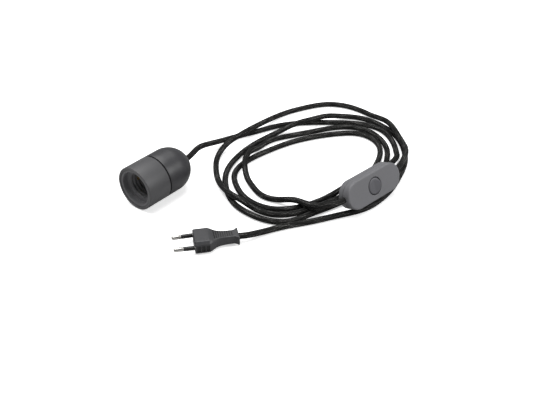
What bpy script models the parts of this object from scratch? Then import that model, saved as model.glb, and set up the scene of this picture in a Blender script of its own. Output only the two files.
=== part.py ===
"""Table lamp cord set: a screw-in lamp holder, a round cord in a braided cover, an inline rocker switch and a flat
two-pin plug.

The holder lies on its side with its axis along X and its lowest line on Z = 0. Its open mouth looks towards -X and
the cord leaves the pole of its cap at +X. The cord, the switch and the plug lie on the same surface, Z = 0.
"""

import math

import bmesh
import bpy
import numpy as np
from mathutils import Matrix, Vector

MM = 0.001

# Clearances between pieces that are fitted together
FIT = 0.3 * MM
CUT_OVERRUN = 1.0 * MM
JOINING_LAP = 0.5 * MM
EDGE_BREAK = 0.3 * MM
ROUND_CORNER_SHARE = 0.3

# Lamp holder, measured along its axis from the mouth
HOLDER_DIAMETER = 43.6 * MM
HOLDER_LENGTH = 65.8 * MM
HOLDER_SEGMENTS = 48
SKIRT_LENGTH = 26.4 * MM
SKIRT_WALL = 2.0 * MM
RIM_WIDTH = 2.2 * MM
RIM_STEP = 0.9 * MM
RIM_ROUND = 0.7 * MM
MOUTH_DIAMETER = 33.6 * MM
MOUTH_DEPTH = 5.0 * MM
MOUTH_CHAMFER = 0.6 * MM
THREAD_START = 7.5 * MM
THREAD_PITCH = 3.6 * MM
THREAD_TURNS = 4
THREAD_CREST_DIAMETER = 24.7 * MM
THREAD_ROOT_DIAMETER = 26.6 * MM
THREAD_STEPS = 6
SLEEVE_WALL = 1.5 * MM
SLEEVE_STOP = 2.9 * MM
SEAM_WIDTH = 0.9 * MM
SEAM_DEPTH = 0.7 * MM
SPIGOT_LENGTH = 5.5 * MM
SPIGOT_WALL = 1.6 * MM
CAP_STRAIGHT_END = 43.3 * MM
CAP_WALL = 2.2 * MM
CAP_SEAT_WIDTH = 1.4 * MM
POLE_FLAT_RADIUS = 4.6 * MM
DOME_STEPS = 10
CORD_HOLE_DIAMETER = 6.6 * MM

# Insert that carries the contacts, and what is fixed on it
INSERT_THICKNESS = 6.2 * MM
INSERT_BOSS_DIAMETER = 9.0 * MM
INSERT_BOSS_HEIGHT = 1.2 * MM
CONTACT_STRIP_WIDTH = 4.0 * MM
CONTACT_STRIP_THICKNESS = 0.5 * MM
CENTRE_CONTACT_FOOT = 6.5 * MM
CENTRE_CONTACT_RISE = 2.0 * MM
CENTRE_CONTACT_TAIL = 3.0 * MM
SIDE_CONTACT_REACH = 9.0 * MM
SIDE_CONTACT_FOOT = 4.0 * MM
SIDE_CONTACT_TURN = math.radians(90)
TERMINAL_OFFSET = 8.5 * MM
TERMINAL_SIZE = (6.0 * MM, 7.0 * MM, 8.0 * MM)
TERMINAL_BORE = 2.4 * MM
TERMINAL_SCREW_LEVEL = 0.65
TERMINAL_SCREW_STOP = 1.5 * MM
SCREW_SHANK = 2.4 * MM
SCREW_HEAD = 4.4 * MM
SCREW_HEAD_HEIGHT = 1.6 * MM
SCREW_SLOT = (0.7 * MM, 0.7 * MM)
GRIP_DIAMETER = 12.0 * MM
GRIP_LENGTH = 8.0 * MM
GRIP_CHAMFER = 1.0 * MM
CORE_DIAMETER = 1.8 * MM
CORE_SPREAD = 1.5 * MM
CORE_LEAD = 1.0 * MM
CORE_LOOP = 2.0 * MM
CORE_POINTS = 12

# Inline switch, in its own frame: X along its length, Y across it, Z out of the face with the rocker
SWITCH_CENTRE = Vector((115.5, -163.6, 19.5)) * MM
SWITCH_HEADING = math.radians(-7.2)
SWITCH_LEAN = math.radians(68.7)
SWITCH_LENGTH = 72.2 * MM
SWITCH_WIDTH = 27.6 * MM
SWITCH_THICKNESS = 13.4 * MM
SWITCH_WALL = 1.8 * MM
SWITCH_EDGE = 1.3 * MM
SWITCH_PARTING = -1.2 * MM
SWITCH_LIP = 1.2 * MM
SWITCH_LIP_WALL = 0.8 * MM
SWITCH_END_STEPS = 12
ENTRY_DIAMETER = 6.6 * MM
ROCKER_BALL_DIAMETER = 17.2 * MM
ROCKER_AXIS_HEIGHT = 3.3 * MM
ROCKER_PROUD = 0.4 * MM
ROCKER_UNDERSIDE = 2.6 * MM
ROCKER_THROW = math.radians(13.0)
PIN_DIAMETER = 2.0 * MM
POST_WIDTH = 3.0 * MM
POST_THICKNESS = 1.8 * MM
BRIDGE_LENGTH = 13.0 * MM
BRIDGE_WIDTH = 4.0 * MM
FIXED_CONTACT_INNER = 4.6 * MM
FIXED_CONTACT_OUTER = 17.0 * MM
SWITCH_TERMINAL_X = 14.5 * MM
LIVE_SIDE_Y = 0.0 * MM
NEUTRAL_SIDE_Y = 7.6 * MM
CLAMP_X = 23.5 * MM
CLAMP_LENGTH = 4.0 * MM
CLAMP_SPAN = 14.0 * MM
CLAMP_THICKNESS = 1.6 * MM
CASE_SCREW_X = 7.5 * MM
CASE_SCREW_Y = -8.2 * MM
CASE_SCREW_RECESS = 0.7 * MM
CASE_SCREW_REACH = 4.0 * MM
ENTRY_DEPTH = 2.5 * SWITCH_WALL

# Flat two-pin plug, in its own frame: X towards the pin tips, Z up from the surface it lies on
PLUG_FRONT = Vector((-41.1, -83.8, 0.0)) * MM
PLUG_HEADING = math.radians(141.2)
PLUG_THICKNESS = 13.2 * MM
PLUG_CORNER = 0.7 * MM
PLUG_RIB_START = 17.8 * MM
PLUG_RIB_PITCH = 2.0 * MM
PLUG_RIBS = 9
PLUG_RIB_GROOVE = (0.8 * MM, 0.45 * MM)
PLUG_RIB_MARGIN = 0.9 * MM
GRIP_POCKET = (3.2 * MM, 0.7 * MM, 6.4 * MM)
GRIP_POCKET_PITCH = 4.1 * MM
GRIP_POCKET_FIRST = 3.1 * MM
PLUG_PIN_SPACING = 18.6 * MM
PLUG_PIN_TIP_SPACING = 17.4 * MM
PLUG_PIN_LENGTH = 19.0 * MM
PLUG_PIN_DIAMETER = 4.0 * MM
PLUG_SLEEVE_LENGTH = 10.0 * MM
PLUG_SLEEVE_WALL = 0.3 * MM
PLUG_PIN_SEAT = 6.0 * MM
PLUG_PIN_NOSE = 2.0 * MM

# Sections of the plug's body in millimetres: place behind the pin face, half of the flat top, half width,
# half of the upright side, and thickness
PLUG_SECTIONS = [
    (0.0, 8.9, 11.7, 3.5, 12.4),
    (0.6, 9.4, 12.3, 3.9, 13.2),
    (12.9, 9.4, 12.3, 3.9, 13.2),
    (15.0, 8.7, 10.9, 3.8, 12.4),
    (17.0, 7.6, 9.2, 3.4, 11.4),
    (19.2, 6.5, 7.6, 3.0, 10.3),
    (22.0, 5.6, 6.4, 2.7, 9.4),
    (26.0, 5.1, 5.8, 2.5, 8.8),
    (31.0, 4.9, 5.5, 2.4, 8.4),
    (35.4, 4.9, 5.5, 2.4, 8.4),
    (36.9, 5.4, 6.2, 2.5, 8.6),
    (39.2, 7.2, 8.5, 2.7, 9.0),
    (39.8, 7.0, 8.3, 2.6, 8.6),
]

# Cord: a round flex in a braided cover
CORD_DIAMETER = 5.8 * MM
CORD_POINTS = 84
CORD_LEAD = 4.0 * MM
CORD_SAMPLES = 6000

# Route of the length between the lamp holder and the switch, in millimetres
HOLDER_SIDE_ROUTE = [
    (31.7, 0, 21.8), (38, 0.4, 21.8), (46, 2.2, 21.7), (57, 6.5, 20.5), (70, 11, 17), (84, 14, 12),
    (102, 15.5, 6.5), (124, 12.5, 3), (145, 3.5, 3), (171, -7.5, 3), (191, -22, 3), (208, -40, 3),
    (224, -61, 3), (234, -80, 3), (236.2, -97, 3), (228.3, -115.5, 3), (214, -131.2, 3),
    (203, -139.8, 4.5), (192, -146.5, 8), (178, -150, 9.8), (160, -149.5, 9.9), (143, -146.5, 9.9),
    (124, -140.5, 9.4), (104, -134.6, 5.5), (86.5, -129.3, 3), (65, -121, 3), (46, -104, 3), (41, -86, 3),
    (44, -67, 3), (54, -49, 3), (65.5, -36.5, 3), (80, -30, 3), (101, -29, 3), (126, -33, 3),
    (154, -41, 3), (178, -53, 3), (200, -69, 3), (214, -88, 3), (211, -109, 3), (195, -125, 3),
    (173, -134.5, 3), (149, -141, 3), (128, -143.8, 3), (108, -142, 3), (84.6, -135.6, 3),
    (62, -127.6, 3), (39, -109, 3), (33.5, -90, 4.5), (31, -77, 9), (31, -64, 10), (35, -51, 9),
    (47.5, -31, 5), (64, -13, 3), (81, 0, 3.5), (99, 5, 7), (120, 4, 10), (143, 3.5, 9.8),
    (169, 6, 6), (196, 5.5, 3), (223, -4.5, 3), (248, -21.5, 3), (258, -47, 3), (256, -75, 3.5),
    (249, -96, 7.8), (234, -118, 10), (221, -133, 10.3), (209, -145.5, 11.7), (195.2, -154.5, 14.4),
    (180.2, -161.3, 17.3), (165, -166.1, 19.2), (150.2, -168, 19.5),
]
PLUG_SIDE_ROUTE = [
    (80.8, -159.2, 19.5), (74.9, -157.8, 19.4), (70.2, -154.6, 18.7), (67, -149.8, 17.4),
    (65.2, -143, 14), (64.6, -134.5, 11.2), (64.2, -125, 9.8), (63.2, -115.5, 9.2), (61.2, -105, 6.2),
    (58.4, -94, 3.2), (56, -83.5, 3), (61, -66, 3), (72, -47, 4), (81, -37, 9), (92, -29.5, 10.1), (105, -24.3, 7.8),
    (121, -21, 3.5), (140, -21, 3), (164, -32, 3), (190, -47, 3), (216, -66, 3), (224.5, -86, 3),
    (219.5, -108, 3), (204.6, -127.2, 3), (184, -139.7, 3), (160, -149.8, 3), (132, -152.8, 3),
    (107, -148.6, 3), (82.5, -141.9, 3), (58.3, -134, 3), (38, -125.5, 3), (28.5, -111, 3),
    (25.5, -92, 3), (28.5, -70, 3), (44, -45, 3), (62.5, -28, 3), (88.5, -17, 3), (114, -13, 3),
    (140, -13.5, 3), (163, -17.5, 4), (178, -25, 8.5), (196, -34, 9.9), (212, -41, 9.5),
    (229, -48, 5), (243, -66, 3), (244.5, -91, 3), (236.7, -116, 3), (218, -139, 3),
    (195.5, -154.7, 3), (165, -165.5, 3), (146, -170.2, 3), (126, -172, 3), (101, -169, 3),
    (79, -157.6, 3), (52.5, -142.4, 3), (29.8, -127.6, 3), (14, -120, 3.6), (2, -115.4, 5),
    (-6, -111.8, 6.3), (-9.9, -108.86, 6.6),
]


def clear_scene():
    for thing in list(bpy.data.objects):
        bpy.data.objects.remove(thing, do_unlink=True)


def new_collection(name):
    made = bpy.data.collections.new(name)
    bpy.context.scene.collection.children.link(made)
    return made


clear_scene()
PARTS = new_collection("lamp_cord_set")
CUTTERS = new_collection("cutters")


def material(name, colour, roughness, metallic=0.0):
    made = bpy.data.materials.new(name)
    made.use_nodes = True
    surface = made.node_tree.nodes["Principled BSDF"]
    surface.inputs["Base Color"].default_value = (*colour, 1.0)
    surface.inputs["Roughness"].default_value = roughness
    surface.inputs["Metallic"].default_value = metallic
    return made


HOLDER_PLASTIC = material("holder_plastic", (0.085, 0.085, 0.088), 0.45)
CERAMIC = material("insert_ceramic", (0.62, 0.60, 0.56), 0.55)
BRASS = material("brass", (0.62, 0.45, 0.20), 0.35, 1.0)
STEEL = material("screw_steel", (0.55, 0.55, 0.56), 0.35, 1.0)
NICKEL = material("pin_nickel", (0.70, 0.70, 0.70), 0.25, 1.0)
SWITCH_PLASTIC = material("switch_plastic", (0.135, 0.135, 0.145), 0.50)
ROCKER_PLASTIC = material("rocker_plastic", (0.095, 0.095, 0.105), 0.50)
PLUG_PLASTIC = material("plug_plastic", (0.075, 0.075, 0.080), 0.55)
SLEEVE_PLASTIC = material("sleeve_plastic", (0.012, 0.012, 0.012), 0.45)
BRAID = material("cord_braid", (0.012, 0.012, 0.011), 0.85)
CORE_INSULATION = {
    "live": material("core_brown", (0.16, 0.06, 0.03), 0.5),
    "neutral": material("core_blue", (0.05, 0.12, 0.40), 0.5),
}


def frame(name, matrix):
    """An empty that carries the pieces of one unit."""
    empty = bpy.data.objects.new(name, None)
    empty.matrix_world = matrix
    PARTS.objects.link(empty)
    return empty


# Local Z of a turned piece becomes the holder's axis, so local -Y is up
HOLDER_AXIS_HEIGHT = HOLDER_DIAMETER / 2
HOLDER_FRAME = frame(
    "holder_frame",
    Matrix.Translation((-HOLDER_LENGTH / 2, 0, HOLDER_AXIS_HEIGHT)) @ Matrix.Rotation(math.pi / 2, 4, "Y"),
)
SWITCH_FRAME = frame(
    "switch_frame",
    Matrix.Translation(SWITCH_CENTRE)
    @ Matrix.Rotation(SWITCH_HEADING, 4, "Z")
    @ Matrix.Rotation(SWITCH_LEAN, 4, "X"),
)
PLUG_FRAME = frame("plug_frame", Matrix.Translation(PLUG_FRONT) @ Matrix.Rotation(PLUG_HEADING, 4, "Z"))


def object_of(name, data, skin, parent=None, place=None):
    made = bpy.data.objects.new(name, data)
    PARTS.objects.link(made)
    if skin is not None:
        data.materials.append(skin)
    made.parent = parent
    if place is not None:
        made.matrix_local = place
    return made


def finish(obj, angle=35):
    """Smooth shading with sharp edges kept."""
    obj.data.shade_smooth()
    obj.data.set_sharp_from_angle(angle=math.radians(angle))
    return obj


def mesh_from(build):
    """A mesh filled by a function that takes a bmesh, with its normals made consistent."""
    work = bmesh.new()
    build(work)
    bmesh.ops.recalc_face_normals(work, faces=work.faces)
    data = bpy.data.meshes.new("mesh")
    work.to_mesh(data)
    work.free()
    return data


def box_mesh(size, centre=(0, 0, 0)):
    def build(work):
        bmesh.ops.create_cube(work, size=1.0, matrix=Matrix.Translation(centre) @ Matrix.Diagonal((*size, 1.0)))

    return mesh_from(build)


def rod_mesh(radius, start, end, segments=16):
    """A cylinder between two points."""
    start = Vector(start)
    end = Vector(end)
    turn = (end - start).to_track_quat("Z", "Y").to_matrix().to_4x4()

    def build(work):
        bmesh.ops.create_cone(
            work, cap_ends=True, segments=segments, radius1=radius, radius2=radius,
            depth=(end - start).length, matrix=Matrix.Translation((start + end) / 2) @ turn,
        )

    return mesh_from(build)


def turned(name, profile, skin, parent, place=None, segments=HOLDER_SEGMENTS):
    """A closed or axis-ended profile of (radius, height) points, turned about local Z by a Screw modifier."""
    work = bmesh.new()
    points = [work.verts.new((radius, 0, height)) for radius, height in profile]
    on_axis = profile[0][0] == 0 and profile[-1][0] == 0
    pairs = list(zip(points, points[1:]))
    if not on_axis:
        pairs.append((points[-1], points[0]))
    for pair in pairs:
        work.edges.new(pair)
    data = bpy.data.meshes.new(name)
    work.to_mesh(data)
    work.free()
    made = object_of(name, data, skin, parent, place)
    lathe = made.modifiers.new("turn", "SCREW")
    lathe.axis = "Z"
    lathe.steps = segments
    lathe.render_steps = segments
    lathe.use_merge_vertices = True
    lathe.merge_threshold = 0.00001
    lathe.use_smooth_shade = True
    return made


def cutter(name, data, parent, place=None):
    made = bpy.data.objects.new(name, data)
    CUTTERS.objects.link(made)
    made.parent = parent
    if place is not None:
        made.matrix_local = place
    made.hide_render = True
    made.display_type = "WIRE"
    return made


def boolean(obj, other, operation="DIFFERENCE"):
    step = obj.modifiers.new(other.name, "BOOLEAN")
    step.operation = operation
    step.solver = "EXACT"
    step.object = other
    return obj


def cut_rod(obj, name, radius, start, end, segments=16):
    return boolean(obj, cutter(name, rod_mesh(radius, start, end, segments), obj.parent))


def join(obj, name, data):
    return boolean(obj, cutter(name, data, obj.parent), "UNION")


def loft_mesh(rings):
    """A closed solid through rings of equally many points, with a flat face over each end."""

    def build(work):
        rows = [[work.verts.new(point) for point in ring] for ring in rings]
        for low, high in zip(rows, rows[1:]):
            for index in range(len(low)):
                after = (index + 1) % len(low)
                work.faces.new((low[index], low[after], high[after], high[index]))
        work.faces.new(rows[0])
        work.faces.new(rows[-1])

    return mesh_from(build)


def screw(name, parent, place, length):
    """A slotted cheese-head screw whose head starts at local Z = 0 and whose shank goes down."""
    made = turned(
        name,
        [
            (0, SCREW_HEAD_HEIGHT),
            (SCREW_HEAD / 2 - EDGE_BREAK, SCREW_HEAD_HEIGHT),
            (SCREW_HEAD / 2, SCREW_HEAD_HEIGHT - EDGE_BREAK),
            (SCREW_HEAD / 2, 0),
            (SCREW_SHANK / 2, 0),
            (SCREW_SHANK / 2, -length),
            (0, -length),
        ],
        STEEL, parent, place, segments=12,
    )
    slot = box_mesh(
        (SCREW_HEAD + CUT_OVERRUN, SCREW_SLOT[0], 2 * SCREW_SLOT[1]), (0, 0, SCREW_HEAD_HEIGHT)
    )
    return boolean(made, cutter(name + "_slot", slot, parent, place))


def strip(name, path, width, thickness, skin, parent, place=None):
    """A bent metal strip: a path in local X and Z, as wide as given along Y, thickened on both sides."""
    work = bmesh.new()
    near = [work.verts.new((x, -width / 2, z)) for x, z in path]
    far = [work.verts.new((x, width / 2, z)) for x, z in path]
    for index in range(len(path) - 1):
        work.faces.new((near[index], near[index + 1], far[index + 1], far[index]))
    data = bpy.data.meshes.new(name)
    work.to_mesh(data)
    work.free()
    made = object_of(name, data, skin, parent, place)
    thick = made.modifiers.new("thickness", "SOLIDIFY")
    thick.thickness = thickness
    thick.offset = 0
    return made


def wire(name, points, radius, skin, parent, resolution=2):
    """A round wire along points, with closed ends."""
    data = bpy.data.curves.new(name, "CURVE")
    data.dimensions = "3D"
    data.bevel_depth = radius
    data.bevel_resolution = resolution
    data.use_fill_caps = True
    path = data.splines.new("POLY")
    path.points.add(len(points) - 1)
    for point, place in zip(path.points, points):
        point.co = (*place, 1.0)
    return object_of(name, data, skin, parent)


# Lamp holder skirt: one moulding with a double wall, whose inner sleeve carries the thread
SKIRT_INNER_RADIUS = HOLDER_AXIS_HEIGHT - SKIRT_WALL
MOUTH_RADIUS = MOUTH_DIAMETER / 2
CREST_RADIUS = THREAD_CREST_DIAMETER / 2
ROOT_RADIUS = THREAD_ROOT_DIAMETER / 2
THREAD_END = THREAD_START + THREAD_PITCH * THREAD_TURNS
SLEEVE_END = SKIRT_LENGTH - SLEEVE_STOP
SLEEVE_OUTER_RADIUS = ROOT_RADIUS + SLEEVE_WALL
FLOOR_OF_RIM = RIM_STEP + SKIRT_WALL


def thread_radius(height, angle):
    """Radius of the rounded thread at a height and an angle: a wave that climbs one pitch a turn and fades at both
    ends."""
    fade = min(1.0, (height - THREAD_START) / (THREAD_PITCH / 2), (THREAD_END - height) / (THREAD_PITCH / 2))
    phase = 2 * math.pi * (height - THREAD_START) / THREAD_PITCH - angle
    depth = (ROOT_RADIUS - CREST_RADIUS) / 2
    return ROOT_RADIUS - depth * max(0.0, fade) * (1 + math.cos(phase))


def skirt_rings():
    """Rings along the skirt's section, once round its wall: down the outside, in over the rim, up the thread, and
    back down between the two walls."""
    outer = HOLDER_AXIS_HEIGHT
    rows = [
        (outer, SKIRT_LENGTH), (outer, RIM_ROUND),
        (outer - ROUND_CORNER_SHARE * RIM_ROUND, ROUND_CORNER_SHARE * RIM_ROUND), (outer - RIM_ROUND, 0),
        (outer - RIM_WIDTH, 0), (outer - RIM_WIDTH, RIM_STEP), (MOUTH_RADIUS + MOUTH_CHAMFER, RIM_STEP),
        (MOUTH_RADIUS, RIM_STEP + MOUTH_CHAMFER), (MOUTH_RADIUS, MOUTH_DEPTH),
    ]
    rows = [(radius, height, False) for radius, height in rows]
    steps = THREAD_TURNS * THREAD_STEPS
    rise = THREAD_PITCH / THREAD_STEPS
    rows += [(ROOT_RADIUS, THREAD_START + rise * step, True) for step in range(steps + 1)]
    rows += [
        (ROOT_RADIUS, SLEEVE_END, False), (SLEEVE_OUTER_RADIUS, SLEEVE_END, False),
        (SLEEVE_OUTER_RADIUS, THREAD_START, False), (MOUTH_RADIUS + SLEEVE_WALL, MOUTH_DEPTH, False),
        (MOUTH_RADIUS + SLEEVE_WALL, FLOOR_OF_RIM, False), (SKIRT_INNER_RADIUS, FLOOR_OF_RIM, False),
        (SKIRT_INNER_RADIUS, SKIRT_LENGTH, False),
    ]
    rings = []
    for radius, height, threaded in rows:
        ring = []
        for step in range(HOLDER_SEGMENTS):
            angle = 2 * math.pi * step / HOLDER_SEGMENTS
            here = thread_radius(height, angle) if threaded else radius
            ring.append((here * math.cos(angle), here * math.sin(angle), height))
        rings.append(ring)
    return rings


def make_skirt():
    def build(work):
        rows = [[work.verts.new(point) for point in ring] for ring in skirt_rings()]
        for low, high in zip(rows, rows[1:] + rows[:1]):
            for index in range(HOLDER_SEGMENTS):
                after = (index + 1) % HOLDER_SEGMENTS
                work.faces.new((low[index], low[after], high[after], high[index]))

    return finish(object_of("holder_skirt", mesh_from(build), HOLDER_PLASTIC, HOLDER_FRAME))


# Lamp holder cap: a dome with a spigot that enters the skirt and a seat for the insert
SPIGOT_RADIUS = SKIRT_INNER_RADIUS - FIT
CAP_INNER_RADIUS = SPIGOT_RADIUS - SPIGOT_WALL
CAP_START = SKIRT_LENGTH + FIT
SPIGOT_START = SKIRT_LENGTH - SPIGOT_LENGTH
INSERT_START = SLEEVE_END + FIT
INSERT_END = INSERT_START + INSERT_THICKNESS
CAP_SEAT = INSERT_END + FIT
DOME_HEIGHT = HOLDER_LENGTH - CAP_STRAIGHT_END


def dome(radius, height, base, inner_end):
    """Points of a quarter oval from its widest circle up to a small radius round the pole."""
    last = math.acos(inner_end / radius)
    angles = [last * step / DOME_STEPS for step in range(DOME_STEPS + 1)]
    return [(radius * math.cos(a), base + height * math.sin(a) / math.sin(last)) for a in angles]


def make_cap():
    hole = CORD_HOLE_DIAMETER / 2
    outside = dome(HOLDER_AXIS_HEIGHT, DOME_HEIGHT, CAP_STRAIGHT_END, POLE_FLAT_RADIUS)
    shell_radius = CAP_INNER_RADIUS - CAP_SEAT_WIDTH
    inside = dome(shell_radius, DOME_HEIGHT - CAP_WALL, CAP_STRAIGHT_END, GRIP_DIAMETER / 2)
    profile = [(hole, HOLDER_LENGTH)]
    profile += outside[::-1]
    profile += [
        (HOLDER_AXIS_HEIGHT, CAP_START + SEAM_WIDTH),
        (HOLDER_AXIS_HEIGHT - SEAM_DEPTH, CAP_START + SEAM_WIDTH - FIT),
        (HOLDER_AXIS_HEIGHT - SEAM_DEPTH, CAP_START),
        (SPIGOT_RADIUS, CAP_START),
        (SPIGOT_RADIUS, SPIGOT_START),
        (CAP_INNER_RADIUS, SPIGOT_START),
        (CAP_INNER_RADIUS, CAP_SEAT),
        (shell_radius, CAP_SEAT),
    ]
    profile += inside
    profile += [(hole, HOLDER_LENGTH - CAP_WALL)]
    return turned("holder_cap", profile, HOLDER_PLASTIC, HOLDER_FRAME)


def make_insert():
    """Moulded disc between the end of the threaded sleeve and the seat in the cap."""
    made = turned(
        "holder_insert",
        [
            (0, INSERT_END),
            (CAP_INNER_RADIUS - FIT, INSERT_END),
            (CAP_INNER_RADIUS - FIT, INSERT_START),
            (INSERT_BOSS_DIAMETER / 2, INSERT_START),
            (INSERT_BOSS_DIAMETER / 2, INSERT_START + INSERT_BOSS_HEIGHT),
            (0, INSERT_START + INSERT_BOSS_HEIGHT),
        ],
        CERAMIC, HOLDER_FRAME,
    )
    return made


def make_holder_contacts():
    """The centre tongue stands on the insert and springs towards the mouth. The side tongue follows the thread."""
    half = CONTACT_STRIP_THICKNESS / 2
    seat = INSERT_START - FIT - half
    strip(
        "centre_contact",
        [
            (-CENTRE_CONTACT_FOOT - CENTRE_CONTACT_TAIL, seat),
            (-CENTRE_CONTACT_FOOT, seat),
            (-CENTRE_CONTACT_FOOT / 2, seat - 0.7 * CENTRE_CONTACT_RISE),
            (0, seat - CENTRE_CONTACT_RISE),
            (0.4 * CENTRE_CONTACT_FOOT, seat - 0.8 * CENTRE_CONTACT_RISE),
        ],
        CONTACT_STRIP_WIDTH, CONTACT_STRIP_THICKNESS, BRASS, HOLDER_FRAME,
    )
    tongue = CREST_RADIUS - FIT - 2 * half
    strip(
        "side_contact",
        [
            (tongue - SIDE_CONTACT_FOOT, seat),
            (tongue, seat),
            (tongue, seat - SIDE_CONTACT_REACH),
        ],
        CONTACT_STRIP_WIDTH, CONTACT_STRIP_THICKNESS, BRASS, HOLDER_FRAME, Matrix.Rotation(SIDE_CONTACT_TURN, 4, "Z"),
    )


def make_holder_terminals():
    """Two brass blocks on the insert, each with a bore for its core and a clamping screw from the middle."""
    length, width, height = TERMINAL_SIZE
    base = INSERT_END + FIT
    level = base + height * TERMINAL_SCREW_LEVEL
    for side, name in ((-1, "live"), (1, "neutral")):
        centre = side * TERMINAL_OFFSET
        block = object_of(
            "terminal_" + name, box_mesh(TERMINAL_SIZE, (centre, 0, base + height / 2)), BRASS, HOLDER_FRAME
        )
        cut_rod(
            block, "terminal_bore_" + name, TERMINAL_BORE / 2, (centre, 0, base + height / 2),
            (centre, 0, base + height + CUT_OVERRUN), 12,
        )
        cut_rod(
            block, "terminal_tap_" + name, SCREW_SHANK / 2 + FIT, (centre, 0, level),
            (centre, width, level), 12,
        )
        place = Matrix.Translation((centre, width / 2 + FIT, level))
        place = place @ Matrix.Rotation(-math.pi / 2, 4, "X")
        screw("terminal_screw_" + name, HOLDER_FRAME, place, width / 2 - TERMINAL_SCREW_STOP)


GRIP_END = HOLDER_LENGTH - CAP_WALL - FIT
GRIP_START = GRIP_END - GRIP_LENGTH


def make_cord_grip():
    """Collar inside the pole of the cap that holds the end of the cord."""
    collar = GRIP_DIAMETER / 2 - FIT
    turned(
        "cord_grip",
        [
            (collar, GRIP_END),
            (collar, GRIP_START + GRIP_CHAMFER),
            (collar - GRIP_CHAMFER, GRIP_START),
            (CORD_DIAMETER / 2, GRIP_START),
            (CORD_DIAMETER / 2, GRIP_END),
        ],
        HOLDER_PLASTIC, HOLDER_FRAME, segments=24,
    )


def make_holder_wires():
    """The two cores of the cord run from the grip to the terminals."""
    top = INSERT_END + FIT + TERMINAL_SIZE[2]
    for side, name in ((-1, "live"), (1, "neutral")):
        near = side * CORE_SPREAD
        far = side * TERMINAL_OFFSET
        points = smooth_route(
            [
                (near, 0, GRIP_END - CORE_LEAD),
                (near, 0, GRIP_START + CORE_LEAD),
                ((near + far) / 2, 0, (GRIP_START + top) / 2),
                (far, 0, top + CORE_LOOP),
                (far, 0, top - CORE_LOOP),
            ],
            CORE_POINTS, CORE_LEAD,
        )
        wire("wire_" + name, points, CORE_DIAMETER / 2, CORE_INSULATION[name], HOLDER_FRAME, 1)


def smooth_route(points, count, lead):
    """Points along the smooth curve through the given points, evenly spaced but for a short first and last step. Each
    stretch is a cubic, and slope and bend run on through every point."""
    knots = np.array(points, dtype=float)
    spans = np.linalg.norm(np.diff(knots, axis=0), axis=1)
    size = len(knots)
    system = np.zeros((size, size))
    right = np.zeros((size, 3))
    system[0, 0:2] = (2, 1)
    right[0] = 3 * (knots[1] - knots[0]) / spans[0]
    system[-1, -2:] = (1, 2)
    right[-1] = 3 * (knots[-1] - knots[-2]) / spans[-1]
    for index in range(1, size - 1):
        before, after = spans[index - 1], spans[index]
        system[index, index - 1:index + 2] = (after, 2 * (before + after), before)
        right[index] = 3 * (
            after * (knots[index] - knots[index - 1]) / before + before * (knots[index + 1] - knots[index]) / after
        )
    slopes = np.linalg.solve(system, right)
    starts = np.concatenate([[0], np.cumsum(spans)])
    along = np.linspace(0, starts[-1], CORD_SAMPLES)
    piece = np.clip(np.searchsorted(starts, along, side="right") - 1, 0, size - 2)
    share = ((along - starts[piece]) / spans[piece])[:, None]
    span = spans[piece][:, None]
    curve = (
        (2 * share**3 - 3 * share**2 + 1) * knots[piece]
        + (share**3 - 2 * share**2 + share) * span * slopes[piece]
        + (3 * share**2 - 2 * share**3) * knots[piece + 1]
        + (share**3 - share**2) * span * slopes[piece + 1]
    )
    run = np.concatenate([[0], np.cumsum(np.linalg.norm(np.diff(curve, axis=0), axis=1))])
    even = np.concatenate([[0], np.linspace(lead, run[-1] - lead, count - 2), [run[-1]]])
    return np.stack([np.interp(even, run, curve[:, axis]) for axis in range(3)], axis=1)


# Inline switch
def stadium(length, width, height):
    """A ring of points round an outline with straight sides and round ends."""
    radius = width / 2
    straight = (length - width) / 2
    ring = []
    for end in (1, -1):
        for step in range(SWITCH_END_STEPS + 1):
            angle = math.pi * (step / SWITCH_END_STEPS - 0.5)
            ring.append((end * (straight + radius * math.cos(angle)), end * radius * math.sin(angle), height))
    return ring


def switch_ring(inset, height):
    return stadium(SWITCH_LENGTH - 2 * inset, SWITCH_WIDTH - 2 * inset, height)


SWITCH_TOP = SWITCH_THICKNESS / 2
ROOF_UNDERSIDE = SWITCH_TOP - SWITCH_WALL
FLOOR_TOP = SWITCH_WALL - SWITCH_TOP
UPPER_START = SWITCH_PARTING + FIT
ROCKER_RADIUS = ROCKER_BALL_DIAMETER / 2
ROCKER_HOLE_RADIUS = math.sqrt(ROCKER_RADIUS**2 - (ROOF_UNDERSIDE - ROCKER_AXIS_HEIGHT) ** 2) + FIT
LIP_INSET = SWITCH_WALL - SWITCH_LIP_WALL
POST_Y = SWITCH_WIDTH / 2 - SWITCH_WALL - FIT - POST_THICKNESS / 2
POST_TOP = ROCKER_AXIS_HEIGHT - PIN_DIAMETER / 2 - FIT


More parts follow.
